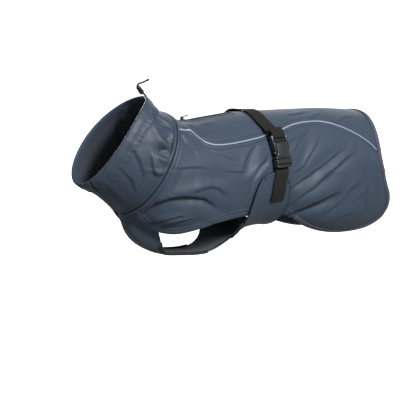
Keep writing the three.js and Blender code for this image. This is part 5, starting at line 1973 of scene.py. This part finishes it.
class Zip:
    """The zip of the lead opening: tape, teeth, slider and pull."""

    def __init__(self) -> None:
        self.frame = slider_frame()

    def _tape(self) -> None:
        xs = np.linspace(SLIT_FROM - 2, SLIT_TO + 2, 70)
        d = np.array([-11, -10.6, -9, -6, -3, -1.6, -1.3, 1.3, 1.6, 3, 6, 9, 10.6, 11])
        x, across = np.meshgrid(xs, d, indexing="ij")
        out = -0.75 - 0.25 * (np.abs(across) < 1.5)
        tape = ClothPanel(
            "zip_tape_cloth",
            ("zip_tape",),
            "zip_tape",
            ZIP_TAPE,
            (0.019, 0.118),
            0.0021,
            ("back_cloth",),
            on_coat,
            x,
            SLIT_V + across / 1.55,
            out,
            wall=0.6,
        )
        tape.build()

    def _teeth(self) -> None:
        tooth = Solid().block((-0.55, 0.55), (-1.5, 0.5), (-0.55, 0.55), 0.18, 1)
        template = np.array([v.co[:] for v in tooth.bm.verts])
        faces = [[v.index for v in f.verts] for f in tooth.bm.faces]
        tooth.bm.free()
        xs = np.arange(SLIT_FROM + 1.5, SLIT_TO - 1, 1.25)
        xs = xs[np.abs(xs - SLIDER_X) > 4.2]
        line = line_on(on_coat, xs, np.full(xs.shape, SLIT_V), 0.15)
        along = np.gradient(line.points, axis=0)
        along /= np.linalg.norm(along, axis=1, keepdims=True)
        axes = np.stack([along, np.cross(line.normals, along), line.normals], 1)
        flip = np.where(np.arange(len(xs)) % 2, 1.0, -1.0)
        axes[:, :2] *= flip[:, None, None]
        points = line.points[:, None] + np.einsum("kc,ncd->nkd", template, axes)
        count = len(template)
        joined = [[k * count + i for i in f] for k in range(len(xs)) for f in faces]
        mesh = bpy.data.meshes.new("zip_teeth")
        mesh.from_pydata(metres(points.reshape(-1, 3)).tolist(), [], joined)
        mesh.materials.append(LOCK_PLASTIC.material())
        obj = bpy.data.objects.new("zip_teeth", mesh)
        bpy.context.scene.collection.objects.link(obj)
        declare(obj)

    def build(self) -> None:
        """Makes all four."""
        self._tape()
        self._teeth()
        outline = corner(-2.9, 0, 1.6, 90, 270, 6) + [(-0.6, -2.0), (1.6, -3.3)]
        outline += corner(3.2, -2.0, 1.3, -90, 0, 4) + corner(3.2, 2.0, 1.3, 0, 90, 4) + [(1.6, 3.3), (-0.6, 2.0)]
        body = Solid().plate(outline, (0.1, 1.1), 0.3, 2)
        body.plate(outline, (1.3, 2.5), 0.45, 3)
        body.block((-3.2, 3.0), (-0.9, 0.9), (0.3, 2.2), 0.2)
        for side in (-1, 1):
            body.block((-4.0, -1.0), (side * 2.1 - 0.5, side * 2.1 + 0.5), (1.9, 5.7), 0.35)
        place = Matrix.Translation((PIN_X, 0, PIN_Z)) @ Matrix.Rotation(math.pi / 2, 4, "X")
        bmesh.ops.create_cone(
            body.bm, cap_ends=True, segments=14, radius1=0.6, radius2=0.6, depth=4.4, matrix=place
        )
        slider = body.finish("zip_slider_cast", self.frame, ZIP_METAL)
        declare(slider, replaced=("zip_slider",))
        self._pull()

    def _pull(self) -> None:
        a = math.radians(PULL_REST)
        f = self.frame
        x = f.x * math.cos(a) + f.z * math.sin(a)
        z = f.z * math.cos(a) - f.x * math.sin(a)
        held = Frame(f.point(PIN_X, 0, PIN_Z), x, f.y, z)
        eye = [(1.28 + 0.33 * math.cos(t), 0.9 * math.sin(t)) for t in np.linspace(0, math.tau, 10, endpoint=False)]
        pull = Solid().ring(eye, (0, 1, 0), (0, 0, 0), 28)
        reach = PULL_LENGTH - 1.9
        path = corner(2.6, 0, 1.0, 100, 260, 8) + corner(reach, 0, 1.5, -82, 82, 10)
        pull.tube(np.array([(p, q, 0.0) for p, q in path]), 0.5, 10, closed=True)
        pull.block((1.35, 2.2), (-0.8, 0.8), (-0.45, 0.45), 0.2)
        obj = pull.finish("zip_pull_wire", held, ZIP_METAL)
        declare(obj, Body.PULL_TAB, ("zip_pull",))


class Drawcord:
    """The drawcord at the nape, its lock and its tip."""

    def __init__(self) -> None:
        start = on_coat(-143.0, 0.0, WALL + GAP + 1.2 + GAP + CORD / 2 + 0.2)
        self.knots = np.vstack([start, np.array(CORD_ROWS, float)])

    def _path(self, count: int) -> np.ndarray:
        p = self.knots
        padded = np.vstack([2 * p[0] - p[1], p, 2 * p[-1] - p[-2]])
        fine = []
        for k in range(len(p) - 1):
            p0, p1, p2, p3 = padded[k : k + 4]
            dt0, dt1, dt2 = (math.sqrt(np.linalg.norm(b - a)) for a, b in ((p0, p1), (p1, p2), (p2, p3)))
            t1 = ((p1 - p0) / dt0 - (p2 - p0) / (dt0 + dt1) + (p2 - p1) / dt1) * dt1
            t2 = ((p2 - p1) / dt1 - (p3 - p1) / (dt1 + dt2) + (p3 - p2) / dt2) * dt1
            w = np.linspace(0, 1, 41)[:, None]
            fine.append(p1 + t1 * w + (-3 * p1 + 3 * p2 - 2 * t1 - t2) * w**2 + (2 * p1 - 2 * p2 + t1 + t2) * w**3)
        line = np.vstack(fine)
        length = arc(line[:, None], 0)[:, 0]
        even = np.linspace(0, length[-1], count)
        return np.stack([np.interp(even, length, line[:, k]) for k in range(3)], -1)

    def build(self) -> None:
        """Makes the cord, its lock and its tip."""
        path = self._path(90)
        tangent = np.gradient(path, axis=0)
        tangent /= np.linalg.norm(tangent, axis=1, keepdims=True)
        side = np.broadcast_to([0.0, 1.0, 0.0], tangent.shape)
        up = np.cross(tangent, side)
        up /= np.linalg.norm(up, axis=1, keepdims=True)
        turn = np.linspace(0, math.tau, 17)
        wide = (side[:, None] * np.cos(turn)[None, :, None] + up[:, None] * np.sin(turn)[None, :, None]) * CORD / 2
        length = arc(path[:, None], 0)[:, 0]
        twill = 0.06 * np.sin(length[:, None] * 4.2 + 3 * turn[None, :])
        points = path[:, None] + wide * (1 + twill[..., None])
        ends = [path[[0]][:, None] + wide[[0]] * 0.05, path[[-1]][:, None] + wide[[-1]] * 0.05]
        points = np.vstack([ends[0], points, ends[1]])
        cord = cloth_grid("drawcord_braid", points, CORD_CLOTH, 0.5, wide[45, 8])
        cord.modifiers.clear()
        declare(cord, replaced=("drawcord",))
        tip = self._tip(path[-1], tangent[-1])
        lock = self._lock()

    def _tip(self, end: np.ndarray, ahead: np.ndarray) -> bpy.types.Object:
        y = np.array([0.0, 1.0, 0.0])
        frame = Frame(end, np.cross(y, ahead), y, ahead)
        section = [(0.0, -2.6), (1.5, -2.6), (1.72, -2.2), (1.72, 0.2), (1.5, 0.8), (0.8, 1.2), (0.0, 1.3)]
        tip = Solid()
        verts = [tip.bm.verts.new((r, 0, h)) for r, h in section]
        edges = [tip.bm.edges.new((a, b)) for a, b in zip(verts, verts[1:])]
        bmesh.ops.spin(
            tip.bm, geom=verts + edges, cent=(0, 0, 0), axis=(0, 0, 1), angle=math.tau, steps=20, use_duplicate=False
        )
        bmesh.ops.remove_doubles(tip.bm, verts=tip.bm.verts, dist=1e-4)
        obj = tip.finish("drawcord_tip", frame, LOCK_PLASTIC)
        declare(obj)
        return obj

    def _lock(self) -> bpy.types.Object:
        a, b = self.knots[2], self.knots[3]
        out = unit(b - a)
        y = np.array([0.0, 1.0, 0.0])
        frame = Frame(a + (b - a) * 0.46, unit(np.cross(y, out)), y, out)
        hole = CORD / 2 + 0.25
        section = [(hole, -6.2), (3.2, -6.2), (3.6, -5.7), (3.6, -1.2), (3.3, -0.9), (3.3, -0.4), (3.5, -0.1)]
        section += [(3.4, 2.2), (3.1, 2.5), (3.1, 2.9), (3.3, 3.2), (3.2, 5.6), (2.7, 6.2), (hole, 6.2)]
        lock = Solid().ring(section, (0, 0, 1), (0, 0, 0), 30)
        for k in range(8):
            angle = k * math.tau / 8
            before = len(lock.bm.verts)
            lock.block((3.3, 3.85), (-0.35, 0.35), (-5.2, -1.6), 0.14, 1)
            lock.bm.verts.ensure_lookup_table()
            fresh = lock.bm.verts[before:]
            bmesh.ops.rotate(lock.bm, verts=fresh, cent=(0, 0, 0), matrix=Matrix.Rotation(angle, 3, "Z"))
        obj = lock.finish("cord_lock_moulded", frame, LOCK_PLASTIC)
        declare(obj, replaced=("cord_lock",))
        return obj


def bar_tacks() -> None:
    """The dense tacks on the hem and at the corners of the flaps and the opening."""
    for side in (1, -1):
        for x, v, tilt in ((139, 143, 1.0), (166, 146, 1.0), (61, 90, 0.2), (108, 96, 0.3)):
            belly = v < 100
            place = on_belly if belly else on_coat
            for k in range(9):
                shift = (k - 4) * 0.34
                at = np.linspace(-1, 1, 5)
                xs = x + shift + tilt * at
                vs = side * (v + 1.6 * at)
                STITCHES.add("stitching_coat", line_on(place, xs, vs, WALL + 0.95 - 0.6 * belly), 2.0)
    for x in (SLIT_FROM - 1, SLIT_TO + 1):
        for k in range(5):
            vs = np.linspace(SLIT_V - 2.6, SLIT_V + 2.6, 8)
            STITCHES.add("stitching_coat", line_on(on_coat, np.full(8, x + 0.5 * k - 1), vs, WALL + 0.35), 2.6)


@dataclass(frozen=True)
class Light:
    """A soft lamp in the studio: place and target in metres, width, power and colour."""

    name: str
    place: tuple[float, float, float]
    target: tuple[float, float, float]
    size: float
    power: float
    colour: tuple[float, float, float] = (1.0, 1.0, 1.0)

    def build(self) -> None:
        """Adds the lamp."""
        data = bpy.data.lights.new(self.name, "AREA")
        data.shape = "DISK"
        data.size = self.size
        data.energy = self.power
        data.color = self.colour
        lamp = bpy.data.objects.new(self.name, data)
        lamp.location = self.place
        lamp.rotation_euler = (Vector(self.target) - Vector(self.place)).to_track_quat("-Z", "Y").to_euler()
        bpy.context.scene.collection.objects.link(lamp)


class Studio:
    """Camera, lamps and floor."""

    AZIMUTH = -38.0
    ELEVATION = 10.0
    DISTANCE = 1.5
    TARGET = (-0.060, 0.0, -0.127)
    LIGHTS = (
        Light("key", (0.1, -2.15, 1.45), (0.05, 0.0, -0.05), 0.45, 94.0),
        Light("far_side", (0.2, 2.3, 0.45), (0.05, 0.0, -0.05), 0.9, 26.0),
    )

    def build(self) -> None:
        """Adds all of them."""
        self._camera()
        for light in self.LIGHTS:
            light.build()
        self._world()
        self._floor()
        self._backdrop()

    def _camera(self) -> None:
        a, e = math.radians(self.AZIMUTH), math.radians(self.ELEVATION)
        back = Vector((math.sin(a) * math.cos(e), -math.cos(a) * math.cos(e), math.sin(e)))
        data = bpy.data.cameras.new("camera")
        data.lens = 90.0
        data.sensor_width = 36.0
        data.clip_start = 0.01
        camera = bpy.data.objects.new("camera", data)
        camera.location = Vector(self.TARGET) + back * self.DISTANCE
        camera.rotation_euler = (-back).to_track_quat("-Z", "Y").to_euler()
        bpy.context.scene.collection.objects.link(camera)
        bpy.context.scene.camera = camera
        bpy.context.scene.view_settings.view_transform = "Standard"

    def _world(self) -> None:
        world = bpy.data.worlds.new("studio")
        world.use_nodes = True
        background = world.node_tree.nodes["Background"]
        background.inputs["Color"].default_value = (1.0, 1.0, 1.0, 1.0)
        background.inputs["Strength"].default_value = 0.36
        bpy.context.scene.world = world

    def _floor(self) -> None:
        bm = bmesh.new()
        bmesh.ops.create_grid(bm, x_segments=4, y_segments=4, size=4.0)
        bmesh.ops.translate(bm, verts=bm.verts, vec=(0, 0, -0.427))
        floor = object_from("floor", bm, FLOOR)
        floor.visible_diffuse = False
        floor.visible_glossy = False

    def _backdrop(self) -> None:
        a = math.radians(self.AZIMUTH)
        away = Vector((-math.sin(a), math.cos(a), 0.0))
        bm = bmesh.new()
        bmesh.ops.create_grid(bm, x_segments=4, y_segments=4, size=1.6)
        bmesh.ops.rotate(bm, verts=bm.verts, matrix=Matrix.Rotation(math.pi / 2, 3, "X"))
        bmesh.ops.rotate(bm, verts=bm.verts, matrix=Matrix.Rotation(a, 3, "Z"))
        bmesh.ops.translate(bm, verts=bm.verts, vec=Vector(self.TARGET) + away * 2.6 + Vector((0, 0, 1.2)))
        wall = object_from("backdrop", bm, GLOW)


def dress_remaining() -> None:
    """Logs any solid that still shows, so that none is left plain."""
    for name in frame["nodes"]:
        obj = bpy.data.objects.get(name)
        if obj and not obj.hide_render:
            LOG.warning("still showing: %s", name)


def main() -> None:
    """Builds the whole scene."""
    logging.basicConfig(level=logging.INFO, format="%(name)s %(message)s")
    Studio().build()
    Drawcord().build()
    Collar().build()
    BackPanel().build()
    for side in (1, -1):
        SidePanel(side).build()
        Piping(side).build()
    BellyPanel().build()
    RearBinding().build()
    straps()
    Buckle().build()
    Zip().build()
    bar_tacks()
    threads = {"stitching_coat": THREAD, "stitching_binding": DARK_THREAD, "stitching_webbing": DARK_THREAD}
    slots = {"stitching_coat": "coat_cloth", "stitching_binding": "hem_binding", "stitching_webbing": "webbing"}
    STITCHES.build(threads, slots)
    dress_remaining()


if __name__ == "__main__":
    main()
